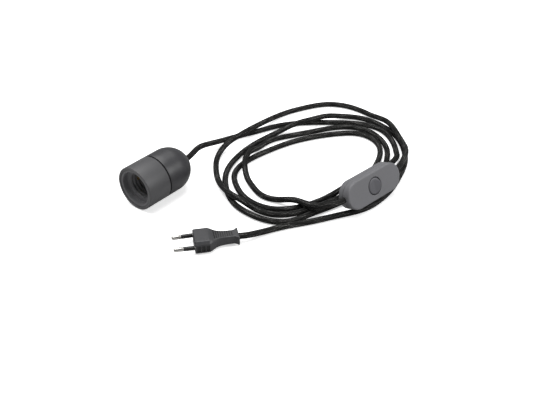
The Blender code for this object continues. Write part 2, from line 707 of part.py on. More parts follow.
def make_upper_shell():
    """Shell with the round opening for the rocker."""
    rings = [
        switch_ring(SWITCH_WALL, ROOF_UNDERSIDE),
        switch_ring(SWITCH_WALL, UPPER_START + SWITCH_LIP),
        switch_ring(LIP_INSET - FIT, UPPER_START + SWITCH_LIP),
        switch_ring(LIP_INSET - FIT, UPPER_START),
        switch_ring(EDGE_BREAK, UPPER_START),
        switch_ring(0, UPPER_START + EDGE_BREAK),
        switch_ring(0, SWITCH_TOP - SWITCH_EDGE),
        switch_ring(ROUND_CORNER_SHARE * SWITCH_EDGE, SWITCH_TOP - ROUND_CORNER_SHARE * SWITCH_EDGE),
        switch_ring(SWITCH_EDGE, SWITCH_TOP),
    ]
    shell = object_of("switch_upper_shell", loft_mesh(rings), SWITCH_PLASTIC, SWITCH_FRAME)
    cut_rod(
        shell, "rocker_opening", ROCKER_HOLE_RADIUS, (0, 0, ROOF_UNDERSIDE - CUT_OVERRUN),
        (0, 0, SWITCH_TOP + CUT_OVERRUN), 40,
    )
    for side, name in ((-1, "left"), (1, "right")):
        reach = SWITCH_LENGTH / 2
        cut_rod(
            shell, "upper_entry_" + name, ENTRY_DIAMETER / 2, (side * (reach - ENTRY_DEPTH), 0, 0),
            (side * (reach + CUT_OVERRUN), 0, 0),
        )
    return finish(shell)


def make_lower_shell():
    """Tray with a lip that enters the upper shell, posts for the rocker's pin, and pads for the contacts."""
    rings = [
        switch_ring(SWITCH_WALL, FLOOR_TOP),
        switch_ring(SWITCH_WALL, SWITCH_PARTING + SWITCH_LIP - FIT),
        switch_ring(LIP_INSET, SWITCH_PARTING + SWITCH_LIP - FIT),
        switch_ring(LIP_INSET, SWITCH_PARTING),
        switch_ring(EDGE_BREAK, SWITCH_PARTING),
        switch_ring(0, SWITCH_PARTING - EDGE_BREAK),
        switch_ring(0, SWITCH_EDGE - SWITCH_TOP),
        switch_ring(ROUND_CORNER_SHARE * SWITCH_EDGE, ROUND_CORNER_SHARE * SWITCH_EDGE - SWITCH_TOP),
        switch_ring(SWITCH_EDGE, -SWITCH_TOP),
    ]
    shell = object_of("switch_lower_shell", loft_mesh(rings), SWITCH_PLASTIC, SWITCH_FRAME)
    for side, name in ((-1, "left"), (1, "right")):
        join(
            shell, "pin_post_" + name,
            box_mesh(
                (POST_WIDTH, POST_THICKNESS, POST_TOP - FLOOR_TOP + JOINING_LAP),
                (0, side * POST_Y, (POST_TOP + FLOOR_TOP - JOINING_LAP) / 2),
            ),
        )
        reach = SWITCH_LENGTH / 2
        cut_rod(
            shell, "lower_entry_" + name, ENTRY_DIAMETER / 2, (side * (reach - ENTRY_DEPTH), 0, 0),
            (side * (reach + CUT_OVERRUN), 0, 0),
        )
    for side, name in ((-1, "left"), (1, "right")):
        cut_rod(
            shell, "case_screw_hole_" + name, SCREW_SHANK / 2 + FIT,
            (side * CASE_SCREW_X, CASE_SCREW_Y, -SWITCH_TOP - CUT_OVERRUN),
            (side * CASE_SCREW_X, CASE_SCREW_Y, 0), 12,
        )
        cut_rod(
            shell, "case_screw_recess_" + name, SCREW_HEAD / 2 + FIT,
            (side * CASE_SCREW_X, CASE_SCREW_Y, -SWITCH_TOP - CUT_OVERRUN),
            (side * CASE_SCREW_X, CASE_SCREW_Y, -SWITCH_TOP + CASE_SCREW_RECESS), 12,
        )
    return finish(shell)


def make_rocker():
    """Round rocker cut from a ball that is centred on its axis, so it turns clear of its opening. Its two halves rise
    outwards, and at rest it is pressed on the left."""
    rest = Matrix.Translation((0, 0, ROCKER_AXIS_HEIGHT)) @ Matrix.Rotation(-ROCKER_THROW / 2, 4, "Y")

    def build(work):
        bmesh.ops.create_uvsphere(work, u_segments=32, v_segments=16, radius=ROCKER_RADIUS)
        whole = work.verts[:] + work.edges[:] + work.faces[:]
        cut = bmesh.ops.bisect_plane(
            work, geom=whole, plane_co=(0, 0, -ROCKER_UNDERSIDE), plane_no=(0, 0, -1), clear_outer=True
        )
        rim = [item for item in cut["geom_cut"] if isinstance(item, bmesh.types.BMEdge)]
        bmesh.ops.edgeloop_fill(work, edges=rim)

    rocker = object_of("switch_rocker", mesh_from(build), ROCKER_PLASTIC, SWITCH_FRAME, rest)
    valley = SWITCH_TOP + ROCKER_PROUD - ROCKER_AXIS_HEIGHT
    reach = ROCKER_RADIUS + CUT_OVERRUN
    rise = reach * math.tan(ROCKER_THROW / 2)
    section = [(0, valley), (reach, valley + rise), (reach, 2 * reach), (-reach, 2 * reach), (-reach, valley + rise)]
    halves = loft_mesh([[(x, y, z) for x, z in section] for y in (-reach, reach)])
    boolean(rocker, cutter("rocker_valley", halves, SWITCH_FRAME, rest))
    bore = rod_mesh(PIN_DIAMETER / 2 + FIT, (0, -reach, 0), (0, reach, 0), 16)
    boolean(rocker, cutter("rocker_bore", bore, SWITCH_FRAME, rest))
    finish(rocker, 25)
    half = CONTACT_STRIP_THICKNESS / 2
    underside = -ROCKER_UNDERSIDE - FIT - half
    strip(
        "contact_bridge",
        [
            (-BRIDGE_LENGTH / 2, underside - 0.5 * MM),
            (-BRIDGE_LENGTH / 4, underside),
            (BRIDGE_LENGTH / 4, underside),
            (BRIDGE_LENGTH / 2, underside - 0.5 * MM),
        ],
        BRIDGE_WIDTH, CONTACT_STRIP_THICKNESS, BRASS, SWITCH_FRAME, rest,
    )


def make_rocker_pin():
    reach = SWITCH_WIDTH / 2 - SWITCH_WALL - FIT
    axis = ROCKER_AXIS_HEIGHT
    object_of("rocker_pin", rod_mesh(PIN_DIAMETER / 2, (0, -reach, axis), (0, reach, axis)), STEEL, SWITCH_FRAME)


def make_switch_contacts():
    """Two fixed contacts lie on the floor under the ends of the bridge, and a link carries the other core through."""
    half = CONTACT_STRIP_THICKNESS / 2
    floor = FLOOR_TOP + FIT + half
    for side, name in ((-1, "in"), (1, "out")):
        strip(
            "fixed_contact_" + name,
            [(side * FIXED_CONTACT_INNER, floor), (side * FIXED_CONTACT_OUTER, floor)],
            BRIDGE_WIDTH, CONTACT_STRIP_THICKNESS, BRASS, SWITCH_FRAME,
        )
    strip(
        "neutral_link", [(-FIXED_CONTACT_OUTER, floor), (FIXED_CONTACT_OUTER, floor)], BRIDGE_WIDTH,
        CONTACT_STRIP_THICKNESS, BRASS, SWITCH_FRAME, Matrix.Translation((0, NEUTRAL_SIDE_Y, 0)),
    )
    head = floor + half + FIT
    for side, place in ((-1, "in"), (1, "out")):
        for y, name in ((LIVE_SIDE_Y, "live"), (NEUTRAL_SIDE_Y, "neutral")):
            x = side * SWITCH_TERMINAL_X
            top = turned(
                "clamp_screw_" + name + "_" + place,
                [
                    (0, SCREW_HEAD_HEIGHT), (SCREW_HEAD / 2 - EDGE_BREAK, SCREW_HEAD_HEIGHT),
                    (SCREW_HEAD / 2, SCREW_HEAD_HEIGHT - EDGE_BREAK), (SCREW_HEAD / 2, 0), (0, 0),
                ],
                STEEL, SWITCH_FRAME, Matrix.Translation((x, y, head)), segments=12,
            )
            slot = box_mesh((SCREW_HEAD + CUT_OVERRUN, SCREW_SLOT[0], 2 * SCREW_SLOT[1]), (0, 0, SCREW_HEAD_HEIGHT))
            boolean(top, cutter(top.name + "_slot", slot, SWITCH_FRAME, Matrix.Translation((x, y, head))))


def make_cord_clamps():
    """A saddle over each cord end, held down on the floor of the lower shell."""
    for side, name in ((-1, "in"), (1, "out")):
        x = side * CLAMP_X
        base = FLOOR_TOP + FIT
        bar = box_mesh((CLAMP_LENGTH, CLAMP_SPAN, CLAMP_THICKNESS), (x, 0, base + CLAMP_THICKNESS / 2))
        object_of("cord_clamp_" + name, bar, SWITCH_PLASTIC, SWITCH_FRAME)


def make_case_screws():
    for side, name in ((-1, "left"), (1, "right")):
        place = Matrix.Translation((side * CASE_SCREW_X, CASE_SCREW_Y, -SWITCH_TOP + CASE_SCREW_RECESS - FIT))
        down = place @ Matrix.Rotation(math.pi, 4, "X")
        turned(
            "case_screw_" + name,
            [
                (0, CASE_SCREW_RECESS), (SCREW_HEAD / 2, CASE_SCREW_RECESS), (SCREW_HEAD / 2, 0), (SCREW_SHANK / 2, 0),
                (SCREW_SHANK / 2, -CASE_SCREW_REACH), (0, -CASE_SCREW_REACH),
            ],
            STEEL, SWITCH_FRAME, down, segments=12,
        )


# Plug
def plug_ring(place, flat, side, upright, thickness):
    """One ring of the plug: an eight-sided outline with a flat top and upright sides, its corners cut back."""
    top = thickness / 2
    corners = [
        (flat, top), (-flat, top), (-side, upright), (-side, -upright),
        (-flat, -top), (flat, -top), (side, -upright), (side, upright),
    ]
    ring = []
    for index, corner in enumerate(corners):
        here = Vector(corner)
        for other in (corners[index - 1], corners[(index + 1) % len(corners)]):
            along = (Vector(other) - here).normalized()
            cut = here + along * PLUG_CORNER
            ring.append((-place, cut.x, PLUG_THICKNESS / 2 + cut.y))
    return ring


def make_plug():
    """Moulded body with grip pockets in its sides and fine ribs across its neck, and two sleeved pins."""
    sections = np.array(PLUG_SECTIONS) * MM
    middle = PLUG_THICKNESS / 2
    body = object_of("plug_body", loft_mesh([plug_ring(*section) for section in sections]), PLUG_PLASTIC, PLUG_FRAME)

    def grooves(work):
        width, depth = PLUG_RIB_GROOVE
        for rib in range(PLUG_RIBS):
            place = PLUG_RIB_START + PLUG_RIB_PITCH * rib
            flat = np.interp(place, sections[:, 0], sections[:, 1]) - PLUG_RIB_MARGIN
            top = np.interp(place, sections[:, 0], sections[:, 4]) / 2
            for up in (1, -1):
                centre = (-place, 0, middle + up * (top - depth + CUT_OVERRUN / 2))
                size = Matrix.Diagonal((width, 2 * flat, CUT_OVERRUN, 1))
                bmesh.ops.create_cube(work, size=1.0, matrix=Matrix.Translation(centre) @ size)

    def pockets(work):
        length, depth, height = GRIP_POCKET
        side = sections[1, 2]
        for index in range(3):
            for left in (1, -1):
                place = GRIP_POCKET_FIRST + GRIP_POCKET_PITCH * index
                centre = (-place, left * (side - depth + CUT_OVERRUN), middle)
                size = Matrix.Diagonal((length, 2 * CUT_OVERRUN, height, 1))
                bmesh.ops.create_cube(work, size=1.0, matrix=Matrix.Translation(centre) @ size)

    boolean(body, cutter("plug_rib_grooves", mesh_from(grooves), PLUG_FRAME))
    boolean(body, cutter("plug_grip_pockets", mesh_from(pockets), PLUG_FRAME))
    radius = PLUG_PIN_DIAMETER / 2
    core = radius - PLUG_SLEEVE_WALL - FIT
    slant = math.atan((PLUG_PIN_SPACING - PLUG_PIN_TIP_SPACING) / 2 / PLUG_PIN_LENGTH)
    sleeve_end = FIT + PLUG_SLEEVE_LENGTH
    for side, name in ((1, "left"), (-1, "right")):
        place = Matrix.Translation((0, side * PLUG_PIN_SPACING / 2, middle))
        place = place @ Matrix.Rotation(-side * slant, 4, "Z") @ Matrix.Rotation(math.pi / 2, 4, "Y")
        seat = rod_mesh(core + FIT, (0, 0, -PLUG_PIN_SEAT - FIT), (0, 0, CUT_OVERRUN), 16)
        boolean(body, cutter("pin_seat_" + name, seat, PLUG_FRAME, place))
        turned(
            "pin_" + name,
            [
                (0, PLUG_PIN_LENGTH),
                (radius * 0.5, PLUG_PIN_LENGTH - PLUG_PIN_NOSE / 8),
                (radius * 0.87, PLUG_PIN_LENGTH - PLUG_PIN_NOSE / 2),
                (radius, PLUG_PIN_LENGTH - PLUG_PIN_NOSE),
                (radius, sleeve_end + FIT),
                (core, sleeve_end + FIT),
                (core, -PLUG_PIN_SEAT),
                (0, -PLUG_PIN_SEAT),
            ],
            NICKEL, PLUG_FRAME, place, segments=16,
        )
        turned(
            "pin_sleeve_" + name,
            [(radius, sleeve_end), (radius, FIT), (core + FIT, FIT), (core + FIT, sleeve_end)],
            SLEEVE_PLASTIC, PLUG_FRAME, place, segments=16,
        )
    finish(body, 25)


def make_cords():
    for name, route in (("cord_holder_side", HOLDER_SIDE_ROUTE), ("cord_plug_side", PLUG_SIDE_ROUTE)):
        points = smooth_route(np.array(route) * MM, CORD_POINTS, CORD_LEAD)
        points[:, 2] = np.maximum(points[:, 2], CORD_DIAMETER / 2)
        wire(name, points, CORD_DIAMETER / 2, BRAID, None)


make_skirt()
make_cap()
make_insert()
make_holder_contacts()
make_holder_terminals()
make_cord_grip()
make_holder_wires()
make_upper_shell()
make_lower_shell()
make_rocker()
make_rocker_pin()
make_switch_contacts()
make_cord_clamps()
make_case_screws()
make_plug()
make_cords()
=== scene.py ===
"""Studio picture of the table lamp cord set on a white table."""

import math

import bpy
import numpy as np
from mathutils import Matrix, Vector


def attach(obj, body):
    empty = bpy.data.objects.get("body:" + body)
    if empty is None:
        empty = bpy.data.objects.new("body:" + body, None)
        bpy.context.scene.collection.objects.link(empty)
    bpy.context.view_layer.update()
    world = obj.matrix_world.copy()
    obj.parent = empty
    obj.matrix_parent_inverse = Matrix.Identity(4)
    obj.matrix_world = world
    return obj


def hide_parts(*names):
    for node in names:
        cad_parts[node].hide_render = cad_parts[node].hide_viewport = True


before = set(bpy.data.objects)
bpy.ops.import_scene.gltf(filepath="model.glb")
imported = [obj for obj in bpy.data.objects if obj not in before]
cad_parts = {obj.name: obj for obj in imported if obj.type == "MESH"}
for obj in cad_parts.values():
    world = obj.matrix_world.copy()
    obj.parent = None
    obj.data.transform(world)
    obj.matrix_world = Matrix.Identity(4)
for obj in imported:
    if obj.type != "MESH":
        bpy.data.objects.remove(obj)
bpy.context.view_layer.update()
ROOT = "holder_cord_and_plug"
scene = bpy.context.scene

# Camera
# The photo looks down at 35 degrees from the side of the holder's mouth and the plug.
camera = bpy.data.objects.new("camera", bpy.data.cameras.new("camera"))
scene.collection.objects.link(camera)
camera.location = (-0.4236, -0.4857, 0.436)
camera.rotation_euler = (math.radians(55), 0, math.radians(-50.3))
camera.data.sensor_width = 36
camera.data.lens = 53.29
camera.data.clip_start = 0.01
scene.camera = camera


# Cords
# Two lengths of round flex, 5.8 mm thick, each in a black braided cover of sixteen flat strands.
# The first runs from the holder to the switch and the second from the switch to the plug.
def smooth_route(points, count, lead):
    """Points along the smooth curve through the given points, evenly spaced but for a short first and last
    step. Each stretch is a cubic, and slope and bend run on through every point."""
    knots = np.array(points, dtype=float)
    spans = np.linalg.norm(np.diff(knots, axis=0), axis=1)
    size = len(knots)
    system = np.zeros((size, size))
    right = np.zeros((size, 3))
    system[0, 0:2] = (2, 1)
    right[0] = 3 * (knots[1] - knots[0]) / spans[0]
    system[-1, -2:] = (1, 2)
    right[-1] = 3 * (knots[-1] - knots[-2]) / spans[-1]
    for index in range(1, size - 1):
        before, after = spans[index - 1], spans[index]
        system[index, index - 1:index + 2] = (after, 2 * (before + after), before)
        right[index] = 3 * (
            after * (knots[index] - knots[index - 1]) / before
            + before * (knots[index + 1] - knots[index]) / after
        )
    slopes = np.linalg.solve(system, right)
    starts = np.concatenate([[0], np.cumsum(spans)])
    along = np.linspace(0, starts[-1], 6000)
    piece = np.clip(np.searchsorted(starts, along, side="right") - 1, 0, size - 2)
    share = ((along - starts[piece]) / spans[piece])[:, None]
    span = spans[piece][:, None]
    curve = (
        (2 * share**3 - 3 * share**2 + 1) * knots[piece]
        + (share**3 - 2 * share**2 + share) * span * slopes[piece]
        + (3 * share**2 - 2 * share**3) * knots[piece + 1]
        + (share**3 - share**2) * span * slopes[piece + 1]
    )
    run = np.concatenate([[0], np.cumsum(np.linalg.norm(np.diff(curve, axis=0), axis=1))])
    even = np.concatenate([[0], np.linspace(lead, run[-1] - lead, count - 2), [run[-1]]])
    return np.stack([np.interp(even, run, curve[:, axis]) for axis in range(3)], axis=1)


def surface(name, grid, uv, wrap=True, ends=(False, False), sharp=40):
    """A mesh over a grid of points. Rows follow each other, wrap joins the last column to the first, and
    ends says which end rows get a flat cap."""
    rows, columns = grid.shape[:2]
    index = np.arange(rows * columns).reshape(rows, columns)
    near = index[:-1]
    far = index[1:]
    if wrap:
        quads = np.stack([near, np.roll(near, -1, 1), np.roll(far, -1, 1), far], axis=-1).reshape(-1, 4)
    else:
        quads = np.stack([near[:, :-1], near[:, 1:], far[:, 1:], far[:, :-1]], axis=-1).reshape(-1, 4)
    faces = quads.tolist()
    if ends[0]:
        faces.append(index[0][::-1].tolist())
    if ends[1]:
        faces.append(index[-1].tolist())
    data = bpy.data.meshes.new(name)
    data.from_pydata(grid.reshape(-1, 3).tolist(), [], faces)
    layer = data.uv_layers.new(name="UVMap")
    corners = np.empty(len(data.loops), np.int32)
    data.loops.foreach_get("vertex_index", corners)
    values = uv.reshape(-1, 2)[corners]
    if wrap:
        around = values[:len(quads) * 4, 1].reshape(-1, 4)
        seam = around.max(axis=1) - around.min(axis=1) > 0.5
        around[seam] = np.where(around[seam] < 0.5, around[seam] + 1, around[seam])
        values[:len(quads) * 4, 1] = around.reshape(-1)
    layer.data.foreach_set("uv", values.astype(np.float32).ravel())
    data.validate()
    data.update()
    data.shade_smooth()
    data.set_sharp_from_angle(angle=math.radians(sharp))
    made = bpy.data.objects.new(name, data)
    scene.collection.objects.link(made)
    return made


def uv_round(down, columns):
    """UV values for a grid: one given value for each row, and even shares round the columns."""
    return np.stack(np.meshgrid(down, np.arange(columns) / columns, indexing="ij"), axis=-1)


def tube(name, line, radius, sides):
    """A tube round a line. Each ring lies square to the line and is carried along it without twist."""
    ahead = np.gradient(line, axis=0)
    ahead /= np.linalg.norm(ahead, axis=1)[:, None]
    side = np.cross(ahead[0], (0, 0, 1.0))
    side /= np.linalg.norm(side)
    sides_of_rings = []
    for direction in ahead:
        side = side - direction * (side @ direction)
        side /= np.linalg.norm(side)
        sides_of_rings.append(side)
    across = np.array(sides_of_rings)
    up = np.cross(ahead, across)
    turn = 2 * math.pi * np.arange(sides) / sides
    grid = line[:, None] + radius * (
        across[:, None] * np.cos(turn)[None, :, None] + up[:, None] * np.sin(turn)[None, :, None]
    )
    run = np.concatenate([[0], np.cumsum(np.linalg.norm(np.diff(line, axis=0), axis=1))])
    return surface(name, grid, uv_round(run, sides), ends=(True, True))


class Shader:
    """Short calls that add and join shader nodes."""

    def __init__(self, name):
        self.made = bpy.data.materials.new(name)
        self.made.use_nodes = True
        self.tree = self.made.node_tree
        self.surface = self.tree.nodes["Principled BSDF"]

    def add(self, kind, **inputs):
        """A new node whose inputs are joined to sockets or set to values."""
        node = self.tree.nodes.new(kind)
        for key, value in inputs.items():
            name = key.replace("_", " ")
            if isinstance(value, bpy.types.NodeSocket):
                self.tree.links.new(value, node.inputs[name])
            else:
                node.inputs[name].default_value = value
        return node

    def maths(self, operation, *values):
        """The result of one operation on sockets and numbers."""
        node = self.tree.nodes.new("ShaderNodeMath")
        node.operation = operation
        for socket, value in zip(node.inputs, values):
            if isinstance(value, bpy.types.NodeSocket):
                self.tree.links.new(value, socket)
            else:
                socket.default_value = value
        return node.outputs[0]

    def between(self, share, low, high):
        """A number that goes from low to high as share goes from 0 to 1."""
        return self.maths("ADD", low, self.maths("MULTIPLY", share, high - low))

    def noise(self, scale, detail=3.0, roughness=0.55, stretch=(1, 1, 1)):
        """Noise that lies fixed on the piece. A stretch below one draws it out along that axis."""
        place = self.tree.nodes.new("ShaderNodeTexCoord").outputs["Object"]
        mapped = self.add("ShaderNodeMapping", Vector=place, Scale=stretch)
        node = self.add(
            "ShaderNodeTexNoise", Vector=mapped.outputs[0], Scale=scale, Detail=detail, Roughness=roughness
        )
        return node.outputs[0]

    def mix(self, share, first, second):
        """A colour that goes from the first to the second as share goes from 0 to 1."""
        node = self.tree.nodes.new("ShaderNodeMix")
        node.data_type = "RGBA"
        self.link(share, node.inputs[0])
        self.link(first, node.inputs[6])
        self.link(second, node.inputs[7])
        return node.outputs[2]

    def link(self, value, socket):
        """Joins a socket to a socket, or sets it to a value."""
        if isinstance(value, bpy.types.NodeSocket):
            self.tree.links.new(value, socket)
        else:
            socket.default_value = value

    def ramp(self, value, low, high):
        """A number that goes from 0 to 1 as value goes from low to high."""
        node = self.add("ShaderNodeMapRange", Value=value)
        node.inputs["From Min"].default_value = low
        node.inputs["From Max"].default_value = high
        return node.outputs[0]

    def bump(self, height, distance, strength=1.0, under=None):
        """A surface that height lifts by up to distance, on top of another bump where one is given."""
        node = self.add("ShaderNodeBump", Height=height, Distance=distance, Strength=strength)
        if under is not None:
            self.tree.links.new(under, node.inputs["Normal"])
        return node.outputs[0]

    def finish(self, colour, roughness, normal, **more):
        """Joins everything to the surface shader and gives the material back."""
        self.link(colour, self.surface.inputs["Base Color"])
        self.link(roughness, self.surface.inputs["Roughness"])
        self.link(normal, self.surface.inputs["Normal"])
        for key, value in more.items():
            self.link(value, self.surface.inputs[key.replace("_", " ")])
        return self.made


def braid_material(strands_each_way=8.0, crossings_a_metre=300.0, threads=5, streaks_a_metre=14.0):
    """Braided cover: two families of flat strands cross on diagonals, and every second crossing lies on
    top. Each strand is a bundle of fine threads that run along it. The gaps between strands are painted
    in shade, and long streaks on the strand tops are painted pale as highlights. The streaks' noise is
    laid round the cord on a circle, so it has no seam."""
    shader = Shader("braid")
    uv = shader.tree.nodes.new("ShaderNodeTexCoord").outputs["UV"]
    parts = shader.add("ShaderNodeSeparateXYZ", Vector=uv)
    along = shader.maths("MULTIPLY", parts.outputs[0], crossings_a_metre)
    around = shader.maths("MULTIPLY", parts.outputs[1], strands_each_way)
    rising = shader.maths("ADD", along, around)
    falling = shader.maths("SUBTRACT", along, around)
    cells = shader.maths("ADD", shader.maths("FLOOR", rising), shader.maths("FLOOR", falling))
    on_top = shader.maths("PINGPONG", cells, 1.0)
    strands = []
    for own, other in ((rising, falling), (falling, rising)):
        across = shader.maths("SINE", shader.maths("MULTIPLY", shader.maths("FRACT", own), math.pi))
        dip = shader.maths("SINE", shader.maths("MULTIPLY", shader.maths("FRACT", other), math.pi))
        body = shader.maths("POWER", shader.maths("MAXIMUM", across, 0.001), 0.5)
        strands.append(shader.maths("MULTIPLY", body, shader.between(dip, 0.55, 1.0)))
    fibres = [
        shader.maths("SINE", shader.maths("MULTIPLY", value, 2 * math.pi * threads))
        for value in (rising, falling)
    ]
    first = shader.maths("MULTIPLY", strands[0], shader.maths("SUBTRACT", 1.0, on_top))
    height = shader.maths("ADD", first, shader.maths("MULTIPLY", strands[1], on_top))
    first = shader.maths("MULTIPLY", fibres[0], shader.maths("SUBTRACT", 1.0, on_top))
    fine = shader.maths("ADD", first, shader.maths("MULTIPLY", fibres[1], on_top))
    fluff = shader.noise(1400.0)
    dust_and_painted_light = shader.ramp(shader.noise(90.0), 0.45, 0.75)
    tall = shader.maths("ADD", height, shader.maths("MULTIPLY", fine, 0.06))
    tall = shader.maths("ADD", tall, shader.maths("MULTIPLY", fluff, 0.25))
    angle = shader.maths("MULTIPLY", parts.outputs[1], 2 * math.pi)
    ring = shader.add(
        "ShaderNodeCombineXYZ", X=shader.maths("COSINE", angle), Y=shader.maths("SINE", angle),
        Z=shader.maths("MULTIPLY", parts.outputs[0], streaks_a_metre),
    )
    streaks = shader.add("ShaderNodeTexNoise", Vector=ring.outputs[0], Scale=5.0, Detail=3.0, Roughness=0.6)
    glint = shader.maths("MULTIPLY", shader.ramp(streaks.outputs[0], 0.54, 0.62), height)
    # Painted shade: the colour darkens from the strand tops down into the gaps between them.
    shade = shader.mix(height, (0.0010, 0.0010, 0.0010, 1), (0.0070, 0.0070, 0.0067, 1))
    shade = shader.mix(shader.maths("MULTIPLY", dust_and_painted_light, 0.35), shade, (0.012, 0.012, 0.0115, 1))
    # Painted highlight: the glint streaks on the strand tops are painted pale.
    shade = shader.mix(glint, shade, (0.100, 0.100, 0.096, 1))
    sheen = shader.maths("MULTIPLY", glint, 0.12)
    rough = shader.maths("SUBTRACT", shader.between(fluff, 0.50, 0.72), sheen)
    normal = shader.bump(tall, 0.00030, 0.8)
    return shader.finish(shade, rough, normal, Specular_IOR_Level=shader.between(glint, 0.15, 0.45))


BRAID = braid_material()
MM = 0.001
CORD_RADIUS = 2.9 * MM
CORD_SIDES = 20
HOLDER_SIDE = [
    (31.7, 0, 21.8), (38, 0.4, 21.8), (46, 2.2, 21.7), (57, 6.5, 20.5), (70, 11, 17), (84, 14, 12),
    (102, 15.5, 6.5), (124, 12.5, 3), (145, 3.5, 3), (171, -7.5, 3), (191, -22, 3), (208, -40, 3),
    (224, -61, 3), (234, -80, 3), (236.2, -97, 3), (228.3, -115.5, 3), (214, -131.2, 3), (203, -139.8, 4.5),
    (192, -146.5, 8), (178, -150, 9.8), (160, -149.5, 9.9), (143, -146.5, 9.9), (124, -140.5, 9.4),
    (104, -134.6, 5.5), (86.5, -129.3, 3), (65, -121, 3), (46, -104, 3), (41, -86, 3), (44, -67, 3),
    (54, -49, 3), (65.5, -36.5, 3), (80, -30, 3), (101, -29, 3), (126, -33, 3), (154, -41, 3), (178, -53, 3),
    (200, -69, 3), (214, -88, 3), (211, -109, 3), (195, -125, 3), (173, -134.5, 3), (149, -141, 3),
    (128, -143.8, 3), (108, -142, 3), (84.6, -135.6, 3), (62, -127.6, 3), (39, -109, 3), (33.5, -90, 4.5),
    (31, -77, 9), (31, -64, 10), (35, -51, 9), (47.5, -31, 5), (64, -13, 3), (81, 0, 3.5), (99, 5, 7),
    (120, 4, 10), (143, 3.5, 9.8), (169, 6, 6), (196, 5.5, 3), (223, -4.5, 3), (248, -21.5, 3), (258, -47, 3),
    (256, -75, 3.5), (249, -96, 7.8), (234, -118, 10), (221, -133, 10.3), (209, -145.5, 11.7),
    (195.2, -154.5, 14.4), (180.2, -161.3, 17.3), (165, -166.1, 19.2), (150.2, -168, 19.5),
]
PLUG_SIDE = [
    (80.8, -159.2, 19.5), (74.9, -157.8, 19.4), (70.2, -154.6, 18.7), (67, -149.8, 17.4), (65.2, -143, 14),
    (64.6, -134.5, 11.2), (64.2, -125, 9.8), (63.2, -115.5, 9.2), (61.2, -105, 6.2), (58.4, -94, 3.2),
    (56, -83.5, 3), (61, -66, 3), (72, -47, 4), (81, -37, 9), (92, -29.5, 10.1), (105, -24.3, 7.8),
    (121, -21, 3.5), (140, -21, 3), (164, -32, 3), (190, -47, 3), (216, -66, 3), (224.5, -86, 3),
    (219.5, -108, 3), (204.6, -127.2, 3), (184, -139.7, 3), (160, -149.8, 3), (132, -152.8, 3),
    (107, -148.6, 3), (82.5, -141.9, 3), (58.3, -134, 3), (38, -125.5, 3), (28.5, -111, 3), (25.5, -92, 3),
    (28.5, -70, 3), (44, -45, 3), (62.5, -28, 3), (88.5, -17, 3), (114, -13, 3), (140, -13.5, 3),
    (163, -17.5, 4), (178, -25, 8.5), (196, -34, 9.9), (212, -41, 9.5), (229, -48, 5), (243, -66, 3),
    (244.5, -91, 3), (236.7, -116, 3), (218, -139, 3), (195.5, -154.7, 3), (165, -165.5, 3), (146, -170.2, 3),
    (126, -172, 3), (101, -169, 3), (79, -157.6, 3), (52.5, -142.4, 3), (29.8, -127.6, 3), (14, -120, 3.6),
    (2, -115.4, 5), (-6, -111.8, 6.3), (-9.9, -108.86, 6.6),
]
for cord_name, route, count in (("cord_holder_side", HOLDER_SIDE, 980), ("cord_plug_side", PLUG_SIDE, 800)):
    line = smooth_route(np.array(route) * MM, count, lead=1 * MM)
    line[:, 2] = np.maximum(line[:, 2], CORD_RADIUS)
    cord = tube("braided_" + cord_name, line, CORD_RADIUS, CORD_SIDES)
    cord.data.materials.append(BRAID)
    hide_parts(cord_name)
    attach(cord, ROOT)


# Lamp holder skirt
# One moulding in dark grey plastic. Its mouth has a stepped rim, and the bulb's thread is moulded in its
# inner sleeve. The cap screws on behind it.
def plastic(name, colour, rough, grain=0.000012, wear=0.25, painted_shading_factor=None):
    """Moulded plastic: a fine eroded grain, slow changes of gloss where hands rub it, and faint scuffs.
    Where the mesh's painted-shading values are one, the colour is the given factor times itself: a factor
    below one is painted shade, and a factor above one is painted light."""
    shader = Shader(name)
    clouds = shader.noise(35.0, 4.0)
    grains = shader.noise(5200.0, 2.0)
    orange_peel = shader.noise(700.0, 2.0)
    scuffs = shader.ramp(shader.noise(260.0, 6.0, 0.7, (1, 1, 0.12)), 0.62, 0.72)
    dark = tuple(0.94 * value for value in colour) + (1,)
    light = tuple(1.06 * value for value in colour) + (1,)
    pale = tuple(min(1.0, 1.5 * value) for value in colour) + (1,)
    tone = shader.mix(clouds, dark, light)
    tone = shader.mix(shader.maths("MULTIPLY", scuffs, wear * 0.5), tone, pale)
    # Painted light and shade: the colour is scaled where the mesh's painted-shading value is one.
    if painted_shading_factor:
        place = shader.tree.nodes.new("ShaderNodeAttribute")
        place.attribute_name = "painted_shading"
        tone = shader.mix(place.outputs["Fac"], tone, tuple(painted_shading_factor * value for value in colour) + (1,))
    gloss = shader.between(clouds, rough - 0.05, rough + 0.05)
    gloss = shader.maths("ADD", gloss, shader.maths("MULTIPLY", scuffs, 0.12 * wear))
    under = shader.bump(orange_peel, 0.00003, 0.5)
    normal = shader.bump(grains, grain, 0.8, under)
    return shader.finish(tone, gloss, normal, Specular_IOR_Level=0.45)


def put(points, place):
    """Points moved by a matrix."""
    matrix = np.array(place)
    return points @ matrix[:3, :3].T + matrix[:3, 3]


def lathe(name, profile, place_of_axis, columns=160, sharp=40, threaded=None):
    """A surface turned about the local X axis: each profile point is (radius, place along the axis).
    threaded gives the radius of some rows as a function of place and angle."""
    turn = 2 * math.pi * np.arange(columns) / columns
    profile = np.array(profile, dtype=float)
    radius = np.repeat(profile[:, :1], columns, axis=1)
    place = np.repeat(profile[:, 1:2], columns, axis=1)
    if threaded is not None:
        radius = threaded(radius, place, turn[None])
    grid = put(np.stack([place, radius * np.sin(turn), radius * np.cos(turn)], axis=-1), place_of_axis)
    run = np.concatenate([[0], np.cumsum(np.linalg.norm(np.diff(profile, axis=0), axis=1))])
    return surface(name, grid, uv_round(run, columns), sharp=sharp)


